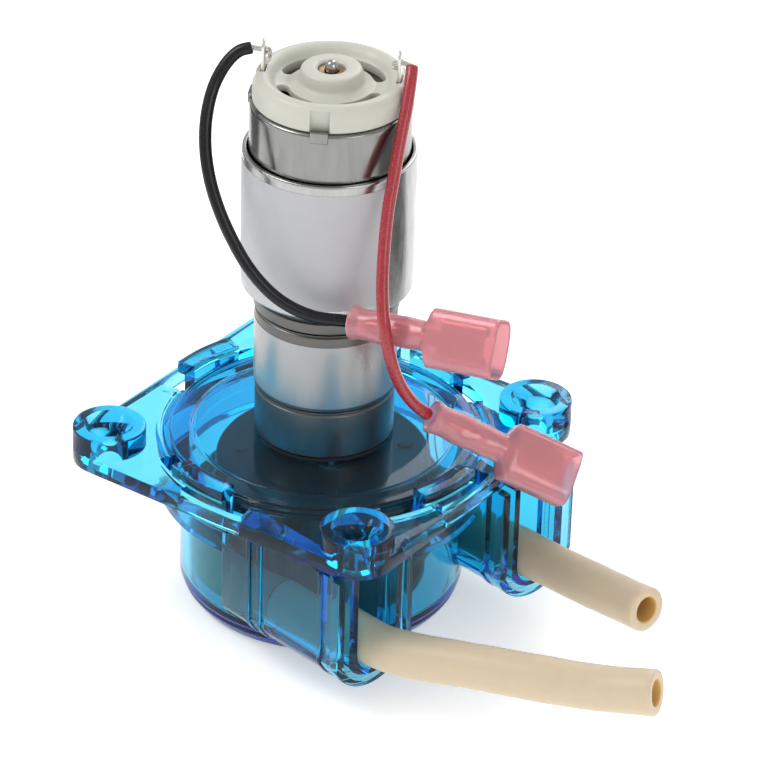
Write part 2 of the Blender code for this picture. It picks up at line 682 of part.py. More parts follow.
def build_gearbox():
    """Housings, ring gear, three planetary stages, output shaft and its bushing."""
    ring_gear = prism("ring_gear",
                      [circle(GEARBOX_RADIUS, 32), gear_outline(RING_TEETH, True, internal=True)],
                      FRONT_SEAM + GAP, REAR_SEAM - GAP, "dark_steel")
    smooth(ring_gear, 20.0)
    for stage in range(3):
        build_planets(stage)
    for stage in range(2):
        carrier = carrier_disc(f"planet_carrier_{stage + 1}", stage, "dark_steel")
        next_top, next_bottom, _ = stage_levels(stage + 1)
        sun = prism(f"sun_{stage + 2}", [gear_outline(SUN_TEETH, False)], next_bottom,
                    next_top + GAP + 0.5 * MM)
        combine(carrier, sun, "UNION")
        smooth(carrier, 20.0)
    _, _, plate_bottom = stage_levels(2)
    output = carrier_disc("output_shaft", 2, "steel")
    journal = cylinder("journal", OUTPUT_JOURNAL, GEARBOX_BOTTOM - 1.5 * MM, plate_bottom + 0.4 * MM)
    stub = cylinder("output_stub", OUTPUT_SHAFT_RADIUS, OUTPUT_SHAFT_END, GEARBOX_BOTTOM)
    flat = block("shaft_flat", (OUTPUT_SHAFT_RADIUS - 0.5 * MM, -3.0 * MM, OUTPUT_SHAFT_END - 1.0 * MM),
                 (3.0 * MM, 3.0 * MM, 22.0 * MM))
    combine(output, journal, "UNION")
    combine(output, stub, "UNION")
    combine(output, flat, "DIFFERENCE")
    smooth(output)
    seat = 5.0 * MM
    front_profile = [
        (GEARBOX_RADIUS - 0.2 * MM, FRONT_SEAM), (GEARBOX_RADIUS - 0.2 * MM, GEARBOX_BOTTOM),
        (SHAFT_OPENING - GAP, GEARBOX_BOTTOM), (SHAFT_OPENING - GAP, FLANGE_BOTTOM + 0.2 * MM),
        (OUTPUT_JOURNAL + GAP, FLANGE_BOTTOM + 0.2 * MM), (OUTPUT_JOURNAL + GAP, 30.5 * MM),
        (seat, 30.5 * MM), (seat, FRONT_SEAM),
    ]
    front = turned("gearbox_front_housing", front_profile, "dark_steel", 32, hollow=True)
    for index, centre in enumerate(GEARBOX_SCREWS):
        tapping = cylinder(f"tapping_{index}", SCREW_HOLE, GEARBOX_BOTTOM - 1.0 * MM, 34.5 * MM, None, 8,
                           centre)
        combine(front, tapping, "DIFFERENCE")
    ring("output_bushing", OUTPUT_JOURNAL + GAP, seat - GAP, 30.8 * MM, FRONT_SEAM - GAP, "bronze", 16)
    gasket_holes = [circle(2.0 * MM, 8, centre) for centre in GEARBOX_SCREWS]
    prism("seat_gasket", [circle(10.6 * MM, 24), circle(5.2 * MM, 16)] + gasket_holes,
          FLANGE_TOP + DISC_RISE + 0.05 * MM, GEARBOX_BOTTOM - 0.05 * MM, "rubber")
    for index, centre in enumerate(GEARBOX_SCREWS):
        build_screw(index, centre)


def build_screw(index, centre):
    """One cheese-head screw, up through the flange disc into the gearbox."""
    head_top = SCREW_SEAT - GAP
    head_bottom = FLANGE_BOTTOM + 0.1 * MM
    profile = [
        (0.0, SCREW_TIP), (SCREW_RADIUS, SCREW_TIP), (SCREW_RADIUS, head_top), (SCREW_HEAD, head_top),
        (SCREW_HEAD, head_bottom), (0.0, head_bottom),
    ]
    turned(f"gearbox_screw_{index + 1}", profile, "steel", 10, centre)


# ---------------------------------------------------------------------------
# Motor
# ---------------------------------------------------------------------------

def build_motor_case():
    """Adaptor ring, can, flux sleeve, magnets and bushings."""
    adaptor_profile = [
        (11.3 * MM, MOTOR_BOTTOM - GAP), (11.3 * MM, REAR_SEAM), (6.0 * MM, REAR_SEAM),
        (6.0 * MM, MOTOR_BOTTOM - GAP),
    ]
    turned("gearbox_adaptor", adaptor_profile, "dark_steel", hollow=True)
    inside = CAN_RADIUS - CAN_WALL
    can_profile = [
        (CAN_RADIUS - 0.5 * MM, CAN_TOP), (CAN_RADIUS, CAN_TOP - 0.5 * MM),
        (CAN_RADIUS, MOTOR_BOTTOM + 0.8 * MM), (CAN_RADIUS - 0.8 * MM, MOTOR_BOTTOM),
        (3.4 * MM, MOTOR_BOTTOM), (3.4 * MM, MOTOR_BOTTOM + CAN_WALL),
        (inside, MOTOR_BOTTOM + CAN_WALL), (inside, CAN_TOP),
    ]
    turned("motor_can", can_profile, "steel", 32, hollow=True)
    ring("flux_sleeve", CAN_RADIUS + GAP, SLEEVE_RADIUS, SLEEVE_BOTTOM, SLEEVE_TOP, "steel", 32)
    for name, first in (("magnet_left", 110.0), ("magnet_right", -70.0)):
        outline = sector(inside - 1.9 * MM, inside - GAP, math.radians(first), math.radians(first + 140.0), 8)
        prism(name, [outline], 59.0 * MM, 79.0 * MM, "magnet")
    ring("front_bushing", MOTOR_SHAFT + GAP, 3.1 * MM, MOTOR_BOTTOM + 0.1 * MM, 58.0 * MM, "bronze", 16)
    ring("rear_bushing", MOTOR_SHAFT + GAP, 2.6 * MM, 87.0 * MM, 90.4 * MM, "bronze", 16)


def build_armature():
    """Shaft, laminated core with five poles, windings, commutator and pinion."""
    shaft_profile = [
        (0.0, SHAFT_TIP), (0.6 * MM, SHAFT_TIP - 0.2 * MM), (MOTOR_SHAFT, SHAFT_TIP - 0.9 * MM),
        (MOTOR_SHAFT, 48.4 * MM), (0.0, 48.4 * MM),
    ]
    turned("motor_shaft", shaft_profile, "steel", 12)
    core = prism("armature_core", [armature_outline(), circle(MOTOR_SHAFT + GAP, 12)],
                 61.0 * MM, 77.0 * MM, "dark_steel")
    smooth(core, 20.0)
    windings = prism("armature_windings", [circle(6.4 * MM, 16), circle(MOTOR_SHAFT + GAP, 10)],
                     77.0 * MM + GAP, 80.0 * MM, "copper")
    smooth(windings)
    ring("commutator", MOTOR_SHAFT + GAP, 2.6 * MM, 80.3 * MM, 84.5 * MM, "copper", 16)
    prism("motor_pinion", [gear_outline(SUN_TEETH, False), circle(MOTOR_SHAFT + GAP, 10)],
          48.6 * MM, 51.0 * MM, "gear")


def armature_outline():
    """Five T-shaped poles about the shaft."""
    outline = []
    neck = 1.3 * MM
    for pole in range(5):
        turn = Matrix.Rotation(2 * math.pi * pole / 5, 2)
        half = [(3.2 * MM, neck), (6.9 * MM, neck), (7.2 * MM, 3.4 * MM)]
        shoe = arc(9.0 * MM, -0.50, 0.50, 5)
        for x, y in [(a, -b) for a, b in half] + shoe + [(a, b) for a, b in reversed(half)]:
            outline.append(tuple(turn @ Vector((x, y))))
    return outline


def vent_outline(quarter):
    """One vent slot of the end cap."""
    middle = TERMINAL_ANGLE + math.pi / 4 + quarter * math.pi / 2
    return sector(5.6 * MM, 8.4 * MM, middle - math.radians(27), middle + math.radians(27), 5)


def build_end_cap():
    """Moulded cap: vented web, rounded rim with notches, central boss."""
    bore = 2.9 * MM
    profile = [
        (CAP_BOSS - 0.4 * MM, CAP_BOSS_TOP), (CAP_BOSS, CAP_BOSS_TOP - 0.5 * MM), (CAP_BOSS, CAP_WEB),
        (8.6 * MM, CAP_WEB), (9.2 * MM, CAP_TOP - 0.4 * MM), (9.9 * MM, CAP_TOP),
        (CAP_RADIUS - 0.9 * MM, CAP_TOP - 0.1 * MM), (CAP_RADIUS - 0.2 * MM, CAP_TOP - 0.8 * MM),
        (CAP_RADIUS, CAN_TOP + GAP), (10.9 * MM, CAN_TOP + GAP), (10.9 * MM, 83.8 * MM),
        (9.4 * MM, 83.8 * MM), (9.4 * MM, CAP_WEB - 1.4 * MM), (bore, CAP_WEB - 1.4 * MM),
        (bore, CAP_BOSS_TOP),
    ]
    cap = turned("end_cap", profile, "nylon", 32, hollow=True)
    for quarter in range(4):
        vent = prism(f"vent_{quarter}", [vent_outline(quarter)], 80.0 * MM, 95.0 * MM)
        combine(cap, vent, "DIFFERENCE")
        notch = block(f"notch_{quarter}", (10.6 * MM, -1.5 * MM, CAN_TOP - 1.0 * MM),
                      (13.0 * MM, 1.5 * MM, CAP_TOP + 1.0 * MM), None,
                      TERMINAL_ANGLE + quarter * math.pi / 2)
        combine(cap, notch, "DIFFERENCE")
    for turn in (0.0, math.pi):
        slot = block(f"terminal_slot_{turn:.0f}", (9.5 * MM, -1.6 * MM, 80.0 * MM),
                     (TERMINAL_RADIUS + 0.7 * MM, 1.6 * MM, 95.0 * MM), None, TERMINAL_ANGLE + turn)
        combine(cap, slot, "DIFFERENCE")
    smooth(cap)
    for name, turn in (("terminal_right", TERMINAL_ANGLE), ("terminal_left", TERMINAL_ANGLE + math.pi)):
        tab = block(name, (TERMINAL_RADIUS - 0.25 * MM, -1.15 * MM, 87.0 * MM),
                    (TERMINAL_RADIUS + 0.25 * MM, 1.15 * MM, 94.6 * MM), "steel", turn)
        eye = block(name + "_eye", (TERMINAL_RADIUS - 1.0 * MM, -0.5 * MM, 92.0 * MM),
                    (TERMINAL_RADIUS + 1.0 * MM, 0.5 * MM, 93.4 * MM), None, turn)
        combine(tab, eye, "DIFFERENCE")
    for name, turn in (("brush_right", TERMINAL_ANGLE), ("brush_left", TERMINAL_ANGLE + math.pi)):
        block(name, (2.9 * MM, -1.2 * MM, 81.2 * MM), (6.4 * MM, 1.2 * MM, 83.4 * MM), "carbon", turn)


# ---------------------------------------------------------------------------
# Leads and push-on connectors
# ---------------------------------------------------------------------------

def connector_frame(ends):
    """The frame of a connector: X runs from its barrel to its mouth, Z is its flat side."""
    start, finish_point = (Vector(p) * MM for p in ends)
    along = (finish_point - start).normalized()
    side = Vector((0.0, 0.0, 1.0)).cross(along).normalized()
    flat = along.cross(side)
    frame = Matrix((along, side, flat)).transposed().to_4x4()
    frame.translation = start
    return frame


def build_connector(colour, ends):
    """The pink insulating sleeve with its open mouth, and the receptacle inside it."""
    frame = connector_frame(ends) @ Matrix.Rotation(CONNECTOR_TILT[colour], 4, "X")
    lay = Matrix.Rotation(math.pi / 2, 4, "Y")
    wall = 0.7 * MM
    barrel = cylinder(f"{colour}_connector_sleeve", BARREL_RADIUS, 0.0, BARREL_LENGTH + 1.0 * MM,
                      "sleeve_pink")
    housing_outline = rounded_box(HOUSING_THICK / 2, HOUSING_WIDE / 2, 2.2 * MM)
    housing = prism(f"{colour}_housing", [housing_outline], BARREL_LENGTH, CONNECTOR_LENGTH)
    hollow_outline = rounded_box(HOUSING_THICK / 2 - wall, HOUSING_WIDE / 2 - wall, 1.6 * MM)
    hollow = prism(f"{colour}_hollow", [hollow_outline], BARREL_LENGTH + 1.2 * MM,
                   CONNECTOR_LENGTH + 1.0 * MM)
    bore = cylinder(f"{colour}_barrel_bore", BARREL_RADIUS - wall, 1.2 * MM, BARREL_LENGTH + 2.0 * MM, None,
                    12)
    entry = cylinder(f"{colour}_entry", LEAD_RADIUS + GAP, -1.0 * MM, 2.0 * MM, None, 10)
    receptacle = prism(f"{colour}_receptacle",
                       [rounded_box(0.9 * MM, 3.2 * MM, 0.5 * MM)], BARREL_LENGTH + 1.6 * MM,
                       CONNECTOR_LENGTH - 2.6 * MM, "brass")
    crimp = cylinder(f"{colour}_crimp", 1.1 * MM, 2.4 * MM, BARREL_LENGTH + 2.4 * MM, None, 8)
    tab_slot = prism(f"{colour}_tab_slot", [rounded_box(0.35 * MM, 2.7 * MM, 0.2 * MM)],
                     BARREL_LENGTH + 3.4 * MM, CONNECTOR_LENGTH)
    for piece in (barrel, housing, hollow, bore, entry, receptacle, crimp, tab_slot):
        piece.matrix_world = frame @ lay
    combine(barrel, housing, "UNION")
    combine(barrel, hollow, "DIFFERENCE")
    combine(barrel, bore, "DIFFERENCE")
    combine(barrel, entry, "DIFFERENCE")
    combine(receptacle, crimp, "UNION")
    combine(receptacle, tab_slot, "DIFFERENCE")
    smooth(barrel)
    smooth(receptacle)


def rounded_box(half_x, half_y, radius):
    """Outline of a box with round corners."""
    radius = min(radius, half_x * 0.98)
    corners = [(half_x - radius, half_y - radius), (radius - half_x, half_y - radius),
               (radius - half_x, radius - half_y), (half_x - radius, radius - half_y)]
    outline = []
    for index, centre in enumerate(corners):
        first = index * math.pi / 2
        outline += arc(radius, first, first + math.pi / 2, 4, centre)
    return outline


build_flange()
build_housing()
build_tube_loop()
build_tube_ends()
build_rotor()
build_gearbox()
build_motor_case()
build_armature()
build_end_cap()
cable("black_lead", BLACK_ROUTE, LEAD_RADIUS, "lead_black", 2)
cable("red_lead", RED_ROUTE, LEAD_RADIUS, "lead_red", 2)
build_connector("black", BLACK_CONNECTOR)
build_connector("red", RED_CONNECTOR)
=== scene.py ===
"""Finished look of a peristaltic pump: clear blue twist-lock tubing head, square flange,
upright planetary gearmotor, cream tube ends and pink insulated push-on connectors.

Lengths inside the classes are millimetres; meshes are written in metres.  The frame has
its origin on the underside of the clear cup, +Z up the drive axis and +X towards the side
where the tube ports come out.
"""

import logging
import math
from dataclasses import dataclass
from enum import Enum
from typing import Iterable, Optional, Sequence

import bmesh
import bpy
import numpy as np
from mathutils import Matrix, Vector


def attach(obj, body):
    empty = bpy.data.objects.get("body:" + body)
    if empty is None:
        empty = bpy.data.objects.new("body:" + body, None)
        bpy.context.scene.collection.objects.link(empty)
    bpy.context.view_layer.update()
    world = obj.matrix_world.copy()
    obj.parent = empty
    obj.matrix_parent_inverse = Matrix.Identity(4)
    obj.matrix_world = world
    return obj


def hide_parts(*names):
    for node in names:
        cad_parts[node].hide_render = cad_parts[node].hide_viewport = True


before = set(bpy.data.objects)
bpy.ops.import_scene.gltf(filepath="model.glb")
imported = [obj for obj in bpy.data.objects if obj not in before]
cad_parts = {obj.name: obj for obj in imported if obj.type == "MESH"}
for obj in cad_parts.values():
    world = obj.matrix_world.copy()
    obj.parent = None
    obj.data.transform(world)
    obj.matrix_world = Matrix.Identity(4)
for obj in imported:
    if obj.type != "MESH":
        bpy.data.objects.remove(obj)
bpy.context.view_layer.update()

LOG = logging.getLogger("pump")
MM = 0.001
HEAD_DEGREES = -9.0
Array = np.ndarray
Piece = bpy.types.Object
Tree = bpy.types.NodeTree
Socket = bpy.types.NodeSocket
Triple = tuple[float, float, float]
Route = Sequence[Sequence[float]]


class Body(Enum):
    """The rigid bodies of the frame that pieces ride on."""

    DRIVE = "drive_unit"
    HEAD = "pump_head"
    ROTOR = "rotor"
    ARMATURE = "armature"


class Slot(Enum):
    """Material slots of the record."""

    CLEAR = "clear_blue"
    TUBE = "tube"
    ROTOR = "rotor_black"
    DARK_STEEL = "dark_steel"
    STEEL = "steel"
    BRONZE = "bronze"
    NYLON = "cap_nylon"
    TINNED = "tinned_brass"
    BLACK_LEAD = "lead_black"
    RED_LEAD = "lead_red"
    PINK = "sleeve_pink"


# Finishes

def set_sockets(node: bpy.types.Node, **sockets: object) -> None:
    """Give a node's sockets, named with _ for a space, their values or their links."""
    for name, value in sockets.items():
        socket = node.inputs[name.replace("_", " ")]
        if isinstance(value, Socket):
            node.id_data.links.new(value, socket)
        else:
            socket.default_value = value


def add_node(tree: Tree, kind: str, settings: Optional[dict[str, str]] = None,
             **sockets: object) -> bpy.types.Node:
    """Add a shader node, with its settings and then its sockets."""
    made = tree.nodes.new("ShaderNode" + kind)
    for name, value in (settings or {}).items():
        setattr(made, name, value)
    set_sockets(made, **sockets)
    return made


def mixed(tree: Tree, share: Socket, first: object, second: object) -> Socket:
    """Mix two colours, or a colour's socket and a colour, by a share of 0 to 1."""
    mix = add_node(tree, "Mix", {"data_type": "RGBA"}, Factor=share, A=first, B=second)
    return mix.outputs["Result"]


@dataclass(frozen=True)
class Finish:
    """A procedural surface: two colours mottled by noise, varied gloss and a fine bump.

    Lengths are millimetres.  stretch scales the grain along X, Y and Z, so a small
    number draws it out into streaks that way.
    """

    name: str
    colour: Triple
    accent: Triple
    roughness: float
    spread: float = 0.05
    metallic: float = 0.0
    grain: float = 0.6
    stretch: Triple = (1.0, 1.0, 1.0)
    bump: float = 0.02
    coat: float = 0.0
    transmission: float = 0.0
    ior: float = 1.45
    scatter: float = 0.0
    density: float = 0.0
    absorb: Triple = (1.0, 1.0, 1.0)
    # A point attribute of 0 to 1 mixes the colour towards tint; the cut tube ends use it to paint shade in
    # their bore.
    tint_attribute: str = ""
    tint: Triple = (1.0, 1.0, 1.0)
    specular: float = 0.5

    def material(self) -> bpy.types.Material:
        """The Blender material, made on first use."""
        known = bpy.data.materials.get(self.name)
        if known:
            return known
        made = bpy.data.materials.new(self.name)
        made.use_nodes = True
        tree = made.node_tree
        shader = tree.nodes["Principled BSDF"]
        where = add_node(tree, "TexCoord")
        turn = add_node(tree, "Mapping", Vector=where.outputs["Object"], Scale=self.stretch)
        noise = add_node(tree, "TexNoise", Vector=turn.outputs["Vector"], Scale=1.0 / (self.grain * MM),
                         Detail=4.0)
        grain = noise.outputs["Fac"]
        colour = mixed(tree, grain, (*self.colour, 1.0), (*self.accent, 1.0))
        # Painted shade: where the attribute is set, the colour is mixed towards the darker tint.
        if self.tint_attribute:
            share = add_node(tree, "Attribute", {"attribute_name": self.tint_attribute})
            colour = mixed(tree, share.outputs["Fac"], colour, (*self.tint, 1.0))
        gloss = add_node(tree, "MapRange", Value=grain, From_Min=0.3, From_Max=0.7,
                         To_Min=max(0.0, self.roughness - self.spread), To_Max=self.roughness + self.spread)
        set_sockets(shader, Base_Color=colour, Roughness=gloss.outputs["Result"], Metallic=self.metallic,
                    IOR=self.ior, Specular_IOR_Level=self.specular, Coat_Weight=self.coat,
                    Coat_Roughness=0.08, Transmission_Weight=self.transmission)
        if self.bump:
            relief = add_node(tree, "Bump", Strength=0.5, Distance=self.bump * MM,
                              Height=self._relief(tree, grain, where))
            set_sockets(shader, Normal=relief.outputs["Normal"])
        if self.scatter:
            set_sockets(shader, Subsurface_Weight=self.scatter, Subsurface_Radius=(1.0, 0.6, 0.4),
                        Subsurface_Scale=1.5 * MM)
        if self.density:
            body = add_node(tree, "VolumeAbsorption", Color=(*self.absorb, 1.0), Density=self.density)
            set_sockets(tree.nodes["Material Output"], Volume=body.outputs["Volume"])
        return made

    def _relief(self, tree: Tree, grain: Socket, where: bpy.types.Node) -> Socket:
        """Height that drives the bump: the grain itself."""
        return grain


@dataclass(frozen=True)
class StrandedFinish(Finish):
    """Insulation drawn tight over twisted strands, which show as slanting ridges."""

    pitch: float = 1.1

    def _relief(self, tree: Tree, grain: Socket, where: bpy.types.Node) -> Socket:
        """Slanting waves along the piece's own UV map, broken up by the grain."""
        turn = add_node(tree, "Mapping", Vector=where.outputs["UV"], Rotation=(0.0, 0.0, math.radians(35.0)))
        waves = add_node(tree, "TexWave", Vector=turn.outputs["Vector"], Scale=1.0 / self.pitch,
                         Distortion=3.0, Detail=2.0)
        both = add_node(tree, "Math", {"operation": "MULTIPLY"})
        for index, height in enumerate((waves.outputs["Fac"], grain)):
            tree.links.new(height, both.inputs[index])
        return both.outputs["Value"]


CLEAR_BLUE = Finish("clear_blue_polycarbonate", (0.56, 0.88, 0.96), (0.52, 0.86, 0.95), 0.05, 0.02, grain=3.0,
                    bump=0.003, transmission=0.985, ior=1.30, density=430.0, absorb=(0.0, 0.80, 0.935))
# Painted shade: the bore, marked by the inside attribute, is mixed to a darker amber than the cream outside.
TUBE_CREAM = Finish("cream_pump_tube", (0.66, 0.545, 0.39), (0.61, 0.495, 0.34), 0.42, grain=2.2, bump=0.02,
                    scatter=0.35, tint_attribute="inside", tint=(0.66, 0.42, 0.14))
# Painted shade: the loop is the same cream tube as the cut ends, coloured a dark grey-green for how it looks
# in the shade inside the blue cup.
LOOP_PAINTED_SHADE = Finish("squeezed_tube", (0.22, 0.30, 0.23), (0.18, 0.26, 0.20), 0.45, grain=2.0, scatter=0.2)
ROTOR_BLACK = Finish("black_acetal", (0.012, 0.012, 0.014), (0.02, 0.02, 0.023), 0.42, grain=0.4)
DARK_STEEL = Finish("oiled_steel", (0.16, 0.155, 0.145), (0.12, 0.115, 0.108), 0.32, 0.05, 0.88, grain=0.35,
                    stretch=(1.0, 1.0, 5.0), bump=0.006)
SLEEVE_STEEL = Finish("plated_sleeve_steel", (0.46, 0.46, 0.45), (0.38, 0.38, 0.37), 0.24, 0.06, 1.0,
                      grain=1.0, stretch=(1.0, 1.0, 0.25), bump=0.006)
CAN_STEEL = Finish("drawn_can_steel", (0.30, 0.30, 0.285), (0.22, 0.22, 0.21), 0.22, 0.07, 1.0, grain=1.4,
                   stretch=(1.0, 1.0, 0.2), bump=0.008)
SHAFT_STEEL = Finish("ground_shaft_steel", (0.45, 0.45, 0.44), (0.36, 0.36, 0.35), 0.18, 0.05, 1.0, grain=0.3,
                     stretch=(1.0, 1.0, 6.0), bump=0.003)
BRONZE = Finish("sintered_bronze", (0.36, 0.24, 0.12), (0.24, 0.16, 0.09), 0.42, 0.08, 1.0, grain=0.2)
GEAR_STEEL = Finish("sintered_gear_steel", (0.36, 0.35, 0.33), (0.26, 0.25, 0.24), 0.4, 0.08, 1.0, grain=0.25)
COPPER = Finish("enamelled_copper", (0.60, 0.24, 0.09), (0.42, 0.15, 0.05), 0.3, 0.08, 1.0, grain=0.3,
                stretch=(1.0, 1.0, 4.0), bump=0.04)
MAGNET = Finish("ferrite", (0.05, 0.05, 0.055), (0.08, 0.08, 0.085), 0.6, grain=0.3)
RUBBER = Finish("gasket_rubber", (0.02, 0.02, 0.02), (0.035, 0.035, 0.035), 0.7, grain=0.4)
NYLON = Finish("ivory_nylon", (0.59, 0.59, 0.52), (0.54, 0.54, 0.475), 0.38, 0.06, grain=1.8, bump=0.012,
               scatter=0.25)
TINNED = Finish("tinned_brass", (0.44, 0.42, 0.37), (0.06, 0.055, 0.05), 0.22, 0.1, 1.0, grain=0.5, bump=0.02)
RECEPTACLE = Finish("bright_receptacle", (0.78, 0.72, 0.58), (0.60, 0.53, 0.40), 0.24, 0.08, 1.0, grain=0.5)
PAPER = Finish("label_paper", (0.50, 0.50, 0.51), (0.455, 0.455, 0.47), 0.45, 0.06, grain=2.5, bump=0.006)
FOIL = Finish("label_foil", (0.40, 0.40, 0.40), (0.36, 0.36, 0.36), 0.30, 0.03, 0.75, grain=6.0, bump=0.0)
BLACK_SILICONE = Finish("black_lead_insulation", (0.006, 0.006, 0.007), (0.012, 0.012, 0.013), 0.26,
                        grain=0.5, bump=0.012, specular=0.35)
RED_INSULATION = StrandedFinish("red_lead_insulation", (0.27, 0.006, 0.014), (0.42, 0.03, 0.04), 0.24, 0.08,
                                grain=0.35, bump=0.12, coat=0.5)
PINK_VINYL = Finish("pink_vinyl", (0.95, 0.47, 0.50), (0.93, 0.43, 0.47), 0.18, 0.02, grain=2.5, bump=0.0,
                    transmission=0.68, ior=1.36, coat=0.5)


# Shapes from arrays

def skin(name: str, points: Array, faces: Iterable[Sequence[int]]) -> Piece:
    """A new object in the scene from points in millimetres and its faces' corner indices."""
    mesh = bpy.data.meshes.new(name)
    mesh.from_pydata((points.reshape(-1, 3) * MM).tolist(), [], [list(f) for f in faces])
    made = bpy.data.objects.new(name, mesh)
    bpy.context.scene.collection.objects.link(made)
    return made


def lattice(rows: int, columns: int, wrap_rows: bool = False, wrap_columns: bool = False) -> Array:
    """Corner indices of the quads of a grid of points.

    Args:
        rows: number of rows of points.
        columns: points in a row.
        wrap_rows: join the last row to the first.
        wrap_columns: join the last point of a row to its first.

    Returns:
        (faces, 4) array of indices.
    """
    a, b = np.meshgrid(np.arange(rows - (not wrap_rows)), np.arange(columns - (not wrap_columns)),
                       indexing="ij")
    c, d = (a + 1) % rows, (b + 1) % columns
    return np.stack([a * columns + b, a * columns + d, c * columns + d, c * columns + b], -1).reshape(-1, 4)


def capped(rows: int, columns: int) -> list[list[int]]:
    """Faces of a row of rings, with both ends closed."""
    last = (rows - 1) * columns
    ends = [list(range(columns)), list(range(last, last + columns))]
    return lattice(rows, columns, False, True).tolist() + ends


def about(degrees: float) -> Matrix:
    """A turn about the drive axis."""
    return Matrix.Rotation(math.radians(degrees), 4, "Z")


def oblong(left: float, right: float, half: float) -> Array:
    """Corners of a rectangle that lies evenly on both sides of the X axis."""
    return np.array([[left, -half], [right, -half], [right, half], [left, half]])


def tidy(made: Piece, sharp: float = 32.0) -> Piece:
    """Merge doubles, point the faces outwards and shade smooth up to an angle."""
    work = bmesh.new()
    work.from_mesh(made.data)
    bmesh.ops.remove_doubles(work, verts=work.verts, dist=2e-7)
    bmesh.ops.dissolve_degenerate(work, edges=work.edges, dist=1e-7)
    bmesh.ops.recalc_face_normals(work, faces=work.faces)
    work.to_mesh(made.data)
    work.free()
    made.data.shade_smooth()
    made.data.set_sharp_from_angle(angle=math.radians(sharp))
    return made


def softened(corners: Sequence[tuple], closed: bool = False, steps: int = 5) -> Array:
    """Round the corners of a polyline by quadratic curves.

    Args:
        corners: (x, y), which stays sharp, or (x, y, reach), whose curve leaves the straight
            runs that far from the corner.
        closed: the line comes back to its start.
        steps: points on each rounded corner.

    Returns:
        (n, 2) array of points.
    """
    flat = np.array([c[:2] for c in corners], float)
    out: list[Array] = []
    for i, corner in enumerate(corners):
        reach = corner[2] if len(corner) > 2 else 0.0
        ends = not closed and i in (0, len(corners) - 1)
        if not reach or ends:
            out.append(flat[i][None])
            continue
        before, after = flat[i - 1] - flat[i], flat[(i + 1) % len(flat)] - flat[i]
        first = flat[i] + before / np.linalg.norm(before) * reach
        last = flat[i] + after / np.linalg.norm(after) * reach
        t = np.linspace(0.0, 1.0, steps)[:, None]
        out.append((1 - t) ** 2 * first + 2 * t * (1 - t) * flat[i] + t * t * last)
    return np.concatenate(out)


def turned(name: str, profile: Array, segments: int = 128, hollow: bool = False,
           centre: tuple[float, float] = (0.0, 0.0)) -> Piece:
    """A turned body: each profile point (r, z) goes round the axis at radius r.

    Args:
        name: the piece's name.
        profile: (n, 2) array; from pole to pole, or a loop for a hollow body.
        segments: steps round the axis.
        hollow: the profile is a closed loop off the axis.
        centre: where the axis stands.

    Returns:
        The tidied object.
    """
    angle = np.arange(segments) * 2 * math.pi / segments
    radius, level = profile[:, :1], profile[:, 1:]
    points = np.stack([centre[0] + radius * np.cos(angle), centre[1] + radius * np.sin(angle),
                       level + 0 * angle], -1)
    return tidy(skin(name, points, lattice(len(profile), segments, hollow, True)))


def unit(steps: Array) -> Array:
    """Each row's direction, at length 1."""
    return steps / np.linalg.norm(steps, axis=1)[:, None]


def arc(radius: float, first: float, last: float, count: int,
        centre: Sequence[float] = (0.0, 0.0)) -> Array:
    """Points along an arc; angles in degrees, both ends in."""
    angle = np.radians(np.linspace(first, last, count))
    return np.stack([centre[0] + radius * np.cos(angle), centre[1] + radius * np.sin(angle)], -1)


def extruded(name: str, outline: Array, low: float, high: float, edge: float = 0.0,
             lay: Optional[Matrix] = None) -> Piece:
    """A flat outline drawn up between two levels; its rims are rings pulled in by a small round.

    Args:
        name: the piece's name.
        outline: (n, 2) array, convex or nearly so where an edge is given.
        low: bottom level.
        high: top level.
        edge: radius of the rims.
        lay: matrix that places the piece, in millimetres.

    Returns:
        The tidied object.
    """
    ahead, behind = np.roll(outline, -1, 0) - outline, outline - np.roll(outline, 1, 0)
    along = unit(unit(ahead) + unit(behind))
    area = np.sum(outline[:, 0] * np.roll(outline[:, 1], -1) - np.roll(outline[:, 0], -1) * outline[:, 1])
    inwards = np.stack([-along[:, 1], along[:, 0]], -1) * math.copysign(1.0, area)
    turns = np.radians([0.0, 30.0, 60.0, 90.0]) if edge else np.array([0.0])
    pulls = edge * (1 - np.sin(turns))
    drops = edge * (1 - np.cos(turns))
    rows = [np.c_[outline + inwards * p, np.full(len(outline), low + d)] for p, d in zip(pulls, drops)]
    rows += [np.c_[outline + inwards * p, np.full(len(outline), high - d)]
             for p, d in zip(pulls[::-1], drops[::-1])]
    made = skin(name, np.stack(rows), capped(len(rows), len(outline)))
    if lay is not None:
        made.data.transform(Matrix.Scale(MM, 4) @ lay @ Matrix.Scale(1 / MM, 4))
    return tidy(made)


def applied(made: Piece) -> None:
    """Bake a piece's modifiers into its mesh."""
    graph = bpy.context.evaluated_depsgraph_get()
    mesh = bpy.data.meshes.new_from_object(made.evaluated_get(graph))
    made.modifiers.clear()
    made.data = mesh


def shaped(made: Piece, others: Iterable[Piece], operation: str) -> Piece:
    """Join or cut a piece with others, one exact Boolean each, and remove them."""
    for other in others:
        boolean = made.modifiers.new(other.name, "BOOLEAN")
        boolean.operation = operation
        boolean.object = other
        boolean.solver = "EXACT"
        applied(made)
        bpy.data.objects.remove(other)
    return made


def eased(made: Piece, width: float, sharp: float = 32.0) -> Piece:
    """Ease the sharp edges of a piece by a two-step bevel, and smooth its shading."""
    bevel = made.modifiers.new("eased_edges", "BEVEL")
    bevel.width = width * MM
    bevel.segments = 2
    bevel.limit_method = "ANGLE"
    bevel.angle_limit = math.radians(sharp)
    bevel.use_clamp_overlap = True
    applied(made)
    return tidy(made, sharp)


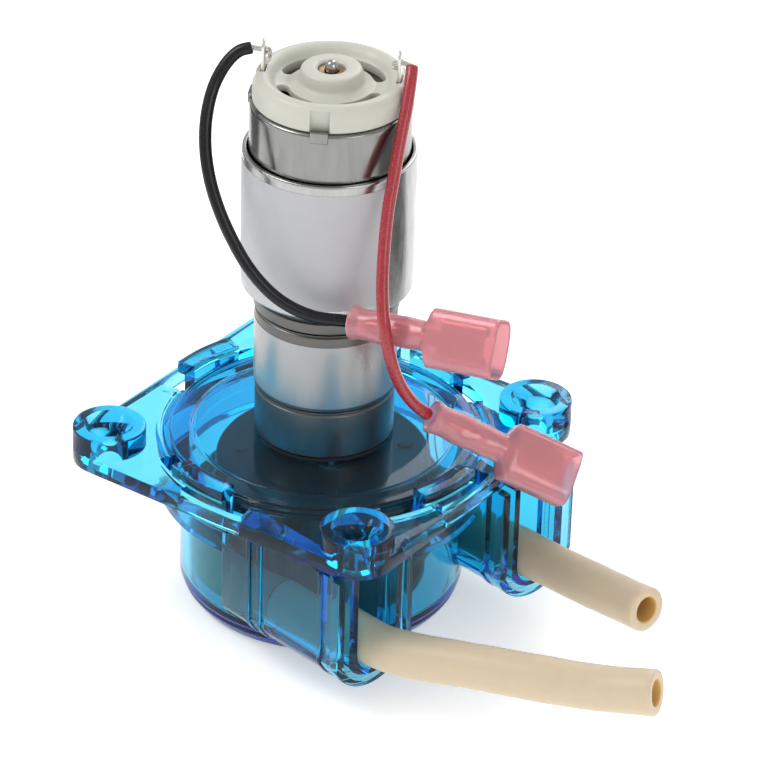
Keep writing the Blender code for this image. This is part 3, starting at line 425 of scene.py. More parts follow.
def smooth_path(route: Route, count: int) -> Array:
    """Evenly spaced points on a Catmull-Rom curve through a route.

    Each span is the cubic whose slope at a point is half the step between its neighbours.

    Args:
        route: the given points.
        count: points wanted.

    Returns:
        (count, 3) array.
    """
    p = np.array(route, float)
    p = np.vstack([2 * p[0] - p[1], p, 2 * p[-1] - p[-2]])
    a, b, c, d = (p[i:len(p) - 3 + i][:, None] for i in range(4))
    t = np.linspace(0.0, 1.0, 40, endpoint=False)[None, :, None]
    dense = 0.5 * (2 * b + (c - a) * t + (2 * a - 5 * b + 4 * c - d) * t ** 2
                   + (3 * b - a - 3 * c + d) * t ** 3)
    dense = np.vstack([dense.reshape(-1, 3), p[-2]])
    walked = np.r_[0.0, np.cumsum(np.linalg.norm(np.diff(dense, axis=0), axis=1))]
    stations = np.linspace(0.0, walked[-1], count)
    return np.stack([np.interp(stations, walked, dense[:, k]) for k in range(3)], -1)


def along_path(path: Array, stations: Array, offsets: Array, upright: Sequence[float]) -> Array:
    """Carry sections along a path.

    A section point (across, up) sits at the path's point plus across times the side direction,
    at right angles to the path and the upright, plus up times the raised direction.

    Args:
        path: (n, 3) evenly spaced points.
        stations: (m,) positions along the path, from 0 to n - 1.
        offsets: (m, k, 2) section points.
        upright: a direction that the path never takes.

    Returns:
        (m, k, 3) array.
    """
    slope = unit(np.gradient(path, axis=0))
    side = unit(np.cross(slope, np.array(upright, float)))
    raised = np.cross(side, slope)
    index = np.arange(len(path))

    def at(values: Array) -> Array:
        """Values of a path quantity at the stations."""
        return np.stack([np.interp(stations, index, values[:, k]) for k in range(3)], -1)[:, None]

    return at(path) + at(side) * offsets[..., :1] + at(raised) * offsets[..., 1:]


def ring_offsets(radii: Array, count: int) -> Array:
    """Round sections: (m, count, 2) offsets for m radii."""
    angle = np.arange(count) * 2 * math.pi / count
    return radii[:, None, None] * np.stack([np.cos(angle), np.sin(angle)], -1)


def head_turned(points: Array) -> Array:
    """Turn points of the head's own frame into the row's frame."""
    turn = math.radians(HEAD_DEGREES)
    c, s = math.cos(turn), math.sin(turn)
    x, y, z = points[..., 0], points[..., 1], points[..., 2]
    return np.stack([x * c - y * s, x * s + y * c, z], -1)


def mark(made: Piece, name: str, values: Array) -> None:
    """Store one number a vertex as an attribute."""
    layer = made.data.attributes.new(name, "FLOAT", "POINT")
    layer.data.foreach_set("value", values.astype(np.float32).ravel())


def unwrap_tube(made: Piece, rows: int, columns: int, row_step: float,
                turn_step: float) -> None:
    """UV map of a tube's side quads: length along U, angle along V, both in millimetres."""
    layer = made.data.uv_layers.new(name="length_and_turn")
    a, b = np.meshgrid(np.arange(rows - 1), np.arange(columns), indexing="ij")
    corners = np.stack([np.stack([a, b], -1), np.stack([a, b + 1], -1), np.stack([a + 1, b + 1], -1),
                        np.stack([a + 1, b], -1)], -2).reshape(-1, 2) * (row_step, turn_step)
    whole = np.zeros((len(layer.data), 2))
    whole[:len(corners)] = corners
    layer.data.foreach_set("uv", whole.astype(np.float32).ravel())


def finish_piece(made: Piece, body: Body, finish: Finish,
                 stands_for: Sequence[str] = ()) -> Piece:
    """Dress a piece, put it on its body and hide the frame nodes it stands for."""
    made.data.materials.clear()
    made.data.materials.append(finish.material())
    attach(made, body.value)
    if stands_for:
        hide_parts(*stands_for)
    LOG.info("%s rides on %s, %d points", made.name, body.value, len(made.data.vertices))
    return made


def turned_piece(name: str, corners: Sequence[tuple], segments: int, body: Body, finish: Finish,
                 node: str, hollow: bool = True) -> None:
    """Turn a piece from its profile's corners, dress it and let it stand for its node."""
    made = turned(name, softened(corners, closed=hollow), segments, hollow)
    finish_piece(made, body, finish, [node])


def join_parts(made: Piece, others: Iterable[Piece]) -> Piece:
    """Put the meshes of other objects into one object, as separate shells."""
    work = bmesh.new()
    work.from_mesh(made.data)
    for other in others:
        work.from_mesh(other.data)
        bpy.data.objects.remove(other)
    work.to_mesh(made.data)
    work.free()
    made.data.shade_smooth()
    made.data.set_sharp_from_angle(angle=math.radians(40.0))
    return made


# Camera, light and floor

@dataclass
class Studio:
    """A pale floor, soft light and a long lens looking down at the pump.

    A card is its near and far edge across the view and its front and rear edge along it.  A lamp
    is its place and size in metres and its power.
    """

    azimuth: float = 35.83
    elevation: float = 29.61
    roll: float = 1.31
    distance: float = 700.0
    target: Triple = (0.0, 0.0, 58.93)
    lens: float = 213.96
    aim_right: float = 0.013096
    aim_down: float = 0.028686
    floor_glow: float = 0.42
    cards: tuple[tuple, ...] = (
        ("right_card", 95.0, 300.0, 60.0, -60.0), ("left_card", -85.0, -330.0, -70.0, -260.0),
    )
    lamps: tuple[tuple, ...] = (
        ("key_light", (-0.45, -0.35, 0.75), 0.45, 3.6), ("fill_light", (0.75, -0.25, 0.45), 0.40, 1.4),
        ("rim_light", (-0.15, 0.70, 0.55), 0.50, 2.4),
    )
    floor_half: float = 4000.0
    floor_drop: float = 0.0002
    sky: tuple[float, ...] = (0.97, 0.98, 1.0, 1.0)
    sky_strength: float = 0.62

    def axes(self) -> tuple[Vector, Vector, Vector]:
        """Right, up and back of the camera before it is aimed off the target."""
        a, e, r = (math.radians(v) for v in (self.azimuth, self.elevation, self.roll))
        back = Vector((math.sin(a) * math.cos(e), -math.cos(a) * math.cos(e), math.sin(e)))
        right = Vector((math.cos(a), math.sin(a), 0.0))
        up = back.cross(right)
        return math.cos(r) * right + math.sin(r) * up, math.cos(r) * up - math.sin(r) * right, back

    def place_camera(self) -> None:
        """The camera, aimed so that the pump sits left of and above the middle."""
        right, up, back = self.axes()
        forward = (-back + self.aim_right * right - self.aim_down * up).normalized()
        side = forward.cross(up).normalized()
        lens = bpy.data.cameras.new("camera")
        lens.lens = self.lens
        lens.sensor_width = 36.0
        lens.clip_start = 0.01
        lens.clip_end = 20.0
        camera = bpy.data.objects.new("camera", lens)
        turn = Matrix((side, side.cross(forward), -forward)).transposed().to_4x4()
        turn.translation = (Vector(self.target) + back * self.distance) * MM
        camera.matrix_world = turn
        bpy.context.scene.collection.objects.link(camera)
        bpy.context.scene.camera = camera

    def light(self, name: str, place: Triple, size: float, power: float) -> None:
        """A square soft light aimed at the pump; place and size in metres."""
        lamp = bpy.data.lights.new(name, "AREA")
        lamp.size = size
        lamp.energy = power
        made = bpy.data.objects.new(name, lamp)
        made.location = place
        made.rotation_euler = (Vector((0.0, 0.0, 0.05)) - Vector(place)).to_track_quat("-Z", "Y").to_euler()
        bpy.context.scene.collection.objects.link(made)

    def flat_stage(self, name: str, corners: Sequence[Vector], paint: bpy.types.Material) -> Piece:
        """One flat face of the surroundings."""
        made = skin(name, np.array([tuple(c) for c in corners]), [(0, 1, 2, 3)])
        made.data.materials.append(paint)
        return made

    def build(self) -> None:
        """World, glowing floor, the dark cards that only gloss and clear pieces see, and lights."""
        world = bpy.data.worlds.new("studio")
        world.use_nodes = True
        set_sockets(world.node_tree.nodes["Background"], Color=self.sky, Strength=self.sky_strength)
        bpy.context.scene.world = world
        bpy.context.scene.view_settings.view_transform = "Standard"
        paper = Finish("studio_paper", (0.93,) * 3, (0.91,) * 3, 0.8, grain=40.0, bump=0.0).material()
        set_sockets(paper.node_tree.nodes["Principled BSDF"], Emission_Color=(1.0, 1.0, 1.0, 1.0),
                    Emission_Strength=self.floor_glow)
        half = self.floor_half
        floor = [Vector((x * half, y * half, 0.0)) for x, y in ((-1, -1), (1, -1), (1, 1), (-1, 1))]
        self.flat_stage("floor", floor, paper).location = (0.0, 0.0, -self.floor_drop)
        shade = Finish("studio_card", (0.14,) * 3, (0.12,) * 3, 0.9, grain=40.0, bump=0.0).material()
        right, _, back = self.axes()
        away = Vector((back.x, back.y, 0.0)).normalized()
        for name, near, far, front, rear in self.cards:
            places = ((near, front), (far, front), (far, rear), (near, rear))
            corners = [right * across + away * along for across, along in places]
            for corner in corners:
                corner.z = 0.4
            card = self.flat_stage(name, corners, shade)
            card.visible_camera = card.visible_shadow = card.visible_diffuse = False
        for lamp in self.lamps:
            self.light(*lamp)


# Tubing

@dataclass
class Tubing:
    """4 x 7 mm pump tube: two cut ends out of the ports and the squeezed loop inside."""

    outside: float = 3.5
    inside: float = 2.0
    level: float = 10.4
    split: float = 10.9
    raceway: float = 20.7
    squeezed: float = 2.8
    tall: float = 10.6
    inlet: Route = (
        (11.2, -17.5, 10.4), (17.0, -17.5, 10.4), (23.0, -17.5, 10.4), (29.4, -17.5, 10.4),
        (33.4, -17.1, 10.8), (38.6, -15.7, 11.5), (46.0, -12.8, 12.4), (54.4, -9.0, 12.9), (62.9, -4.7, 13.4),
        (71.3, -0.9, 14.9),
    )
    outlet: Route = (
        (11.2, 17.5, 10.4), (17.0, 17.5, 10.4), (23.0, 17.5, 10.4), (29.6, 17.5, 10.5),
        (37.2, 17.5, 10.9), (45.4, 17.2, 11.7), (53.6, 16.7, 12.8),
    )

    def tube(self, name: str, route: Route, length: float, stands_for: str) -> None:
        """One cut end: outer skin, eased cut faces and bore as one closed skin.

        Its rows run from the bore's near rim out and along the outside, then back down the bore.
        """
        count, around, ease = 64, 48, 0.25
        path = head_turned(smooth_path(route, count))
        step = length / (count - 1)
        last = count - 1.0
        lip = np.array([0.0, 0.3, 1.0]) * ease / step
        shrink = np.array([1.0, 0.3, 0.0]) * ease
        inner_run = np.linspace(last - lip[-1], lip[-1], 20)
        outer_run = np.linspace(lip[-1], last - lip[-1], count)
        stations = np.r_[lip, outer_run[1:-1], last - lip[::-1], last - lip, inner_run[1:-1], lip[::-1]]
        radii = np.r_[self.outside - shrink, np.full(count - 2, self.outside), self.outside - shrink[::-1],
                      self.inside + shrink, np.full(18, self.inside), self.inside + shrink[::-1]]
        wobble = 0.03 * np.sin(stations * 0.31) + 0.02 * np.sin(stations * 0.83 + 1.0)
        points = along_path(path, stations, ring_offsets(radii + wobble * (radii > 3.0), around), (0, 0, 1))
        made = skin(name, points, lattice(len(stations), around, True, True))
        # The bore's rings are marked so that the finish paints them a darker amber, as painted shade.
        mark(made, "inside", np.repeat((radii < 2.15) * 1.0, around))
        tidy(made, 50.0)
        finish_piece(made, Body.HEAD, TUBE_CREAM, [stands_for])

    def loop_section(self, share: float, count: int) -> Array:
        """The oval at a share of 0 (squeezed) to 1 (nearly round): two half circles set apart."""
        thick = self.squeezed + (2 * self.outside - 0.4 - self.squeezed) * share ** 2
        height = self.tall + (2 * self.outside - self.tall) * share
        corner = thick / 2 * 0.97
        rise = max(height / 2 - corner, 0.02)
        angle = np.linspace(0.0, math.pi, count // 2)
        top = np.stack([-thick / 2 + corner * np.cos(angle), rise + corner * np.sin(angle)], -1)
        return np.vstack([top, np.stack([-top[:, 0] - thick, -top[:, 1]], -1)])

    def build_loop(self) -> None:
        """The loop: straight in, round the back of the rotor, straight out."""
        ends = np.linspace(1.0, 0.0, 12)[:-1]
        sweep = np.linspace(-90.0, -270.0, 73)
        angle = np.radians(sweep)
        place = [(self.split * s, -self.raceway, 0.0, -1.0, s) for s in ends]
        place += [(self.raceway * c, self.raceway * n, c, n, 0.0)
                  for c, n in zip(np.cos(angle), np.sin(angle))]
        place += [(self.split * s, self.raceway, 0.0, 1.0, s) for s in ends[::-1]]
        around = 28
        rows = []
        for x, y, out_x, out_y, share in place:
            section = self.loop_section(share, around)
            rows.append(np.stack([x + out_x * section[:, 0], y + out_y * section[:, 0],
                                  self.level + section[:, 1]], -1))
        points = head_turned(np.stack(rows))
        made = tidy(skin("squeezed_tube_loop", points, capped(len(rows), around)), 50.0)
        # The loop's finish is painted shade: the cream tube coloured dark.
        finish_piece(made, Body.HEAD, LOOP_PAINTED_SHADE, ["tube_loop"])

    def build(self) -> None:
        """Both cut ends; the loop follows with the head."""
        self.tube("inlet_tube_end", self.inlet, 63.8, "inlet_tube")
        self.tube("outlet_tube_end", self.outlet, 42.55, "outlet_tube")


# Leads and push-on connectors

@dataclass
class Connector:
    """Pink vinyl sleeve over a crimped receptacle: round barrel, shoulder and wide mouth."""

    colour: str
    start: Triple
    end: Triple
    tilt: float
    length: float = 24.5
    barrel: float = 12.8
    barrel_radius: float = 2.3
    wide: float = 9.0
    thick: float = 5.2
    wall: float = 0.55

    def lay(self) -> Matrix:
        """Frame of the connector: X is its thin way, Y its wide way and Z runs to the mouth."""
        start, end = Vector(self.start), Vector(self.end)
        along = (end - start).normalized()
        side = Vector((0.0, 0.0, 1.0)).cross(along).normalized()
        basis = Matrix((along, side, along.cross(side))).transposed().to_4x4()
        basis.translation = start
        return basis @ Matrix.Rotation(self.tilt, 4, "X") @ Matrix.Rotation(math.pi / 2, 4, "Y")

    def section(self, along: Array, inset: float) -> Array:
        """Half widths and squareness at stations along the sleeve.

        The barrel flares at its mouth and is dented flat by the crimp; a smooth step at the
        shoulder widens it to the flat housing.
        """
        step = np.clip((along - self.barrel + 0.5) / 1.4, 0.0, 1.0)
        step = step * step * (3 - 2 * step)
        flare = 0.35 * np.exp(-((along - 0.2) / 0.9) ** 2)
        crimp = np.exp(-((along - 5.2) / 1.9) ** 2) + 0.5 * np.exp(-((along - 9.2) / 1.1) ** 2)
        thin = (self.barrel_radius + flare - 0.45 * crimp) * (1 - step) + self.thick / 2 * step
        broad = (self.barrel_radius + flare + 0.22 * crimp) * (1 - step) + self.wide / 2 * step
        square = 2.0 + 2.2 * step + 0.4 * crimp * (1 - step)
        return np.stack([thin - inset, broad - inset, square], -1)

    def skin_rows(self, along: Array, inset: float, around: int) -> Array:
        """Superellipse sections: |x/a|^n + |y/b|^n = 1, flatter on one thin side."""
        size = self.section(along, inset)
        angle = np.arange(around) * 2 * math.pi / around
        c, s = np.cos(angle)[None], np.sin(angle)[None]
        power = 2.0 / size[:, 2:]
        x = size[:, :1] * np.sign(c) * np.abs(c) ** power
        y = size[:, 1:2] * np.sign(s) * np.abs(s) ** power
        housing = np.clip((along - self.barrel) / 1.5, 0.0, 1.0)[:, None]
        x = x + housing * 0.35 * np.cos(np.pi * y / self.wide) * (x > 0) - housing * 0.15 * (x < 0)
        return np.stack([x, y, along[:, None] + 0 * angle[None]], -1)

    def build_sleeve(self) -> Piece:
        """Outer and inner skins joined round the mouth and round the lead's entry."""
        around = 56
        outer = np.r_[0.0, 0.15, np.linspace(0.5, self.length - 0.3, 64), self.length - 0.08, self.length]
        pull = np.r_[0.25, 0.05, np.zeros(64), 0.06, 0.2]
        inner = np.linspace(self.length - 0.05, 0.6, 60)
        rows = [self.skin_rows(np.array([z]), p, around)[0] for z, p in zip(outer, pull)]
        rows += [self.skin_rows(np.array([z]), self.wall, around)[0] for z in inner]
        points = np.stack(rows)
        made = skin(f"{self.colour}_sleeve", points, lattice(len(rows), around, True, True))
        lay = self.lay()
        lay.translation *= MM
        made.data.transform(lay)
        tidy(made, 60.0)
        return finish_piece(made, Body.DRIVE, PINK_VINYL, [f"{self.colour}_connector_sleeve"])

    def build_receptacle(self) -> Piece:
        """Flat brass box with its two rolled edges, and the crimp barrel behind it.

        The rolled part's section is a C: a flat back with both long edges curled in.
        """
        curl = np.radians(np.linspace(-90.0, 150.0, 12))
        roll, broad, gauge = 0.75, 2.45, 0.32
        right = np.stack([roll * np.sin(curl), broad + roll * np.cos(curl) - 0.1], -1)
        line = np.vstack([right[::-1], [[-roll, 0.0]], right * (1, -1)])
        slope = np.gradient(line, axis=0)
        normal = np.stack([-slope[:, 1], slope[:, 0]], -1) / np.linalg.norm(slope, axis=1)[:, None]
        outline = np.vstack([line + normal * gauge / 2, (line - normal * gauge / 2)[::-1]])
        lay = self.lay()
        made = extruded(f"{self.colour}_receptacle_box", outline, self.barrel + 2.0, self.length - 2.4, 0.0,
                        lay)
        crimp = softened([(0.0, 2.6), (1.05, 2.6, 0.2), (1.05, 12.8, 0.2), (0.0, 12.8)])
        barrel = turned("crimp_barrel", crimp, 32)
        neck = extruded("receptacle_neck", oblong(-0.9, -0.5, 1.2), 12.0, 15.4)
        lay.translation *= MM
        for part in (barrel, neck):
            part.data.transform(lay)
        join_parts(made, [barrel, neck])
        return finish_piece(made, Body.DRIVE, RECEPTACLE, [f"{self.colour}_receptacle"])


@dataclass
class Leads:
    """The black and red leads from the terminals to their connectors."""

    radius: float = 0.95
    black: Route = (
        (-10.6, -5.6, 93.0), (-12.2, -6.9, 92.3), (-13.4, -8.7, 90.2), (-13.8, -11.0, 87.0),
        (-12.9, -13.7, 83.0), (-11.0, -16.0, 78.6), (-8.2, -17.6, 73.8), (-4.6, -18.3, 68.6),
        (-0.6, -18.2, 63.8), (3.6, -16.9, 60.0), (8.0, -14.5, 57.7), (12.6, -11.3, 57.0),
    )
    red: Route = (
        (10.9, 5.2, 92.4), (11.8, 3.6, 91.0), (12.8, 1.4, 88.0), (13.7, -1.2, 84.2),
        (14.6, -3.9, 79.4), (15.4, -6.4, 74.4), (16.6, -8.8, 69.3), (18.4, -11.5, 64.9),
        (20.4, -13.6, 60.3), (21.5, -13.4, 55.1), (21.7, -11.1, 49.6), (22.4, -8.3, 45.1),
        (23.7, -6.0, 42.3),
    )

    def lead(self, name: str, route: Route, length: float, finish: Finish,
             stands_for: str, upright: Sequence[float]) -> None:
        """One lead as a round skin with eased, closed ends."""
        count, around = 120, 24
        path = smooth_path(route, count)
        stations = np.r_[0.0, 0.0, 0.3, np.arange(1.0, count - 1), count - 1.3, count - 1.0, count - 1.0]
        radii = np.r_[0.0, 0.85, 1.0, np.ones(count - 2), 1.0, 0.85, 0.0] * self.radius
        points = along_path(path, stations, ring_offsets(radii, around), upright)
        made = skin(name, points, lattice(len(stations), around, False, True))
        unwrap_tube(made, len(stations), around, length / count, 2 * math.pi * self.radius / around)
        tidy(made, 60.0)
        finish_piece(made, Body.DRIVE, finish, [stands_for])

    def strands(self, name: str, eye: Sequence[float], end: Sequence[float], out: Sequence[float]) -> None:
        """Bare strands: each leaves the insulation, passes the eyelet and wraps back round it."""
        eye_at, end_at, out_to = (np.array(v, float) for v in (eye, end, out))
        up = np.array([0.0, 0.0, 1.0])
        across = np.cross(out_to, up)
        strands, steps, around, thread = 7, 40, 8, 0.13
        parts = []
        for index in range(strands):
            phase = index * 2 * math.pi / strands
            t = np.linspace(0.0, 1.0, steps)[:, None]
            spread = 0.30 * (across * math.cos(phase) + up * math.sin(phase))
            reach = end_at + spread + (eye_at - end_at) * np.minimum(t * 2.2, 1.0)
            wrap = np.clip((t - 0.4) / 0.6, 0.0, 1.0)
            turn = wrap * (4.4 + 0.5 * math.sin(phase * 2))
            hook = out_to * (np.cos(turn) - 1) * 0.8 + across * np.sin(turn)
            hook = (0.62 + 0.08 * math.cos(phase)) * hook
            drop = up * (0.55 * math.sin(phase + 1.0) - 1.1) * wrap
            path = reach + hook * (wrap > 0) + drop
            offsets = ring_offsets(np.full(steps, thread), around)
            points = along_path(path, np.arange(float(steps)), offsets, (0.31, 0.17, 0.93))
            parts.append(tidy(skin(f"{name}_{index}", points, capped(steps, around)), 60.0))
        bundle = join_parts(parts[0], parts[1:])
        bundle.name = name
        finish_piece(bundle, Body.DRIVE, TINNED)

    def build(self) -> None:
        """Connectors first, then the leads that carry them."""
        black = Connector("black", (12.9, -11.1, 56.9), (37.0, -7.4, 59.2), math.radians(62.0))
        red = Connector("red", (23.9, -5.7, 42.1), (39.4, 7.3, 31.0), math.radians(48.0))
        black_parts = [black.build_sleeve(), black.build_receptacle()]
        red_parts = [red.build_sleeve(), red.build_receptacle()]
        self.lead("black_motor_lead", self.black, 54.9, BLACK_SILICONE, "black_lead",
                  (0.6, -0.6, -0.5))
        self.lead("red_motor_lead", self.red, 59.3, RED_INSULATION, "red_lead",
                  (0.8, 0.6, 0.0))
        ends = (("black_strands", 208.0, self.black[0]), ("red_strands", 28.0, self.red[0]))
        for name, degrees, end in ends:
            turn = math.radians(degrees)
            out = (math.cos(turn), math.sin(turn), 0.0)
            eye = (10.2 * out[0], 10.2 * out[1], 92.8)
            self.strands(name, eye, end, out)


# Mounting flange

@dataclass
class Flange:
    """Square clear plate with a raised disc, ring lines, lock slots and corner bosses."""

    plain_top: float = 27.85
    bottom: float = 25.3
    half: float = 29.3
    pitch: float = 47.2
    boss: float = 5.7
    boss_top: float = 31.3
    bore: float = 2.1
    recess: float = 3.7
    opening: float = 4.4
    disc_top: float = 28.4
    slot_inner: float = 24.2
    slot_narrow: float = 26.8
    slot_wide: float = 28.2
    slot_turns: Triple = (-33.0, -14.0, 10.5)

    def outline_radius(self, angle: Array) -> Array:
        """Distance to the rounded square: the flat side, or the round about the boss centre."""
        fold = np.abs((angle + math.pi / 4) % (math.pi / 2) - math.pi / 4)
        flat = self.half / np.cos(fold)
        middle = self.pitch / 2
        u = np.stack([np.cos(fold), np.sin(fold)], -1) @ np.array([middle, middle])
        corner = u + np.sqrt(np.maximum(u * u - 2 * middle ** 2 + self.boss ** 2, 0.0))
        return np.where(self.half * np.tan(fold) <= middle, flat, corner)

    def columns(self) -> Array:
        """Angles of the grid's columns, in degrees: even steps plus the slots' ends."""
        even = np.arange(-180.0, 180.0, 1.5)
        ends = np.array([quarter * 90.0 + turn for quarter in range(-2, 3) for turn in self.slot_turns])
        ends = ends[(ends >= -180.0) & (ends < 180.0)]
        clear = np.min(np.abs(even[:, None] - ends[None]), 1) > 0.5
        return np.sort(np.r_[even[clear], ends])

    def build_plate(self) -> Piece:
        """The plate as two skins over one polar grid, with walls round each slot.

        Rows are rings from the shaft opening out to the rounded square; the top skin's level
        is a profile of the radius.  Cells inside a slot are left out.
        """
        degrees = self.columns()
        angle = np.radians(degrees)
        rim = self.outline_radius(angle)
        rings = np.array([self.opening, 5.0, 10.0, 15.0, 19.9, 20.15, 20.45, 20.7, 23.7, 23.95, 24.2, 24.75,
                          24.95, 25.2, 25.4, 25.85, 26.05, self.slot_narrow, self.slot_wide])
        levels = np.array([self.disc_top] * 5 + [28.2] * 2 + [self.disc_top] * 2
                          + [28.1, 28.0, 28.0, 27.65, 27.65, 28.0, 28.0] + [self.plain_top] * 5)
        shares = np.array([[0.5], [1.0]])
        radius = np.vstack([np.repeat(rings[:, None], len(angle), 1),
                            self.slot_wide + (rim - self.slot_wide) * shares])
        level = np.repeat(levels[:, None], len(angle), 1)
        top = np.stack([radius * np.cos(angle), radius * np.sin(angle), level], -1)
        under = top.copy()
        under[..., 2] = self.bottom
        rows, columns = radius.shape
        middle_r = (radius[:-1] + radius[1:]) / 2
        spans = (degrees + np.roll(degrees, -1) + 360.0 * (np.roll(degrees, -1) < degrees)) / 2
        turn = (spans + 45.0) % 90.0 - 45.0
        turn = np.where(turn > 20.0, turn - 90.0, turn)
        narrow = (turn > self.slot_turns[0]) & (turn < self.slot_turns[1])
        wide = (turn > self.slot_turns[1]) & (turn < self.slot_turns[2])
        reach = np.where(narrow, self.slot_narrow, np.where(wide, self.slot_wide, 0.0))
        solid = ~((middle_r > self.slot_inner) & (middle_r < reach[None]))
        cells = lattice(rows, columns, False, True).reshape(rows - 1, columns, 4)
        count = rows * columns
        faces = np.concatenate([cells[solid], cells[solid][:, ::-1] + count])
        padded = np.pad(solid, ((1, 1), (0, 0)))
        row, column = np.nonzero(padded[:-1] != padded[1:])
        side_row, side_column = np.nonzero(solid != np.roll(solid, 1, 1))
        a = np.r_[row * columns + column, side_row * columns + side_column]
        b = np.r_[row * columns + (column + 1) % columns, (side_row + 1) * columns + side_column]
        faces = np.vstack([faces, np.stack([a, b, b + count, a + count], -1)])
        plate = skin("clear_flange", np.stack([top, under]), faces.tolist())
        work = bmesh.new()
        work.from_mesh(plate.data)
        unused = [v for v in work.verts if not v.link_faces]
        bmesh.ops.delete(work, geom=unused, context="VERTS")
        work.to_mesh(plate.data)
        work.free()
        return eased(tidy(plate), 0.14)

    def build(self) -> None:
        """Plate with its bosses joined on and their bores cut."""
        plate = self.build_plate()
        middle = self.pitch / 2
        centres = [(x * middle, y * middle) for x, y in ((1, 1), (-1, 1), (-1, -1), (1, -1))]
        boss = softened([(0.0, self.boss_top), (self.boss - 0.03, self.boss_top, 0.5),
                         (self.boss - 0.03, self.bottom + 1.0), (0.0, self.bottom + 1.0)])
        wide, bore_radius = self.recess + 0.3, self.bore
        bore = softened([(0.0, 33.0), (wide, 33.0), (wide, self.boss_top + 0.1, 0.1),
                         (self.recess - 0.2, self.boss_top - 0.5, 0.4),
                         (bore_radius + 0.4, self.boss_top - 1.5, 0.4),
                         (bore_radius, self.boss_top - 2.2, 0.4), (bore_radius, 24.0), (0.0, 24.0)])
        shaped(plate, [turned(f"boss_{i}", boss, 72, centre=c) for i, c in enumerate(centres)], "UNION")
        shaped(plate, [turned(f"bore_{i}", bore, 56, centre=c) for i, c in enumerate(centres)], "DIFFERENCE")
        tidy(plate, 28.0)
        finish_piece(plate, Body.DRIVE, CLEAR_BLUE, ["mounting_flange"])


# Pump head

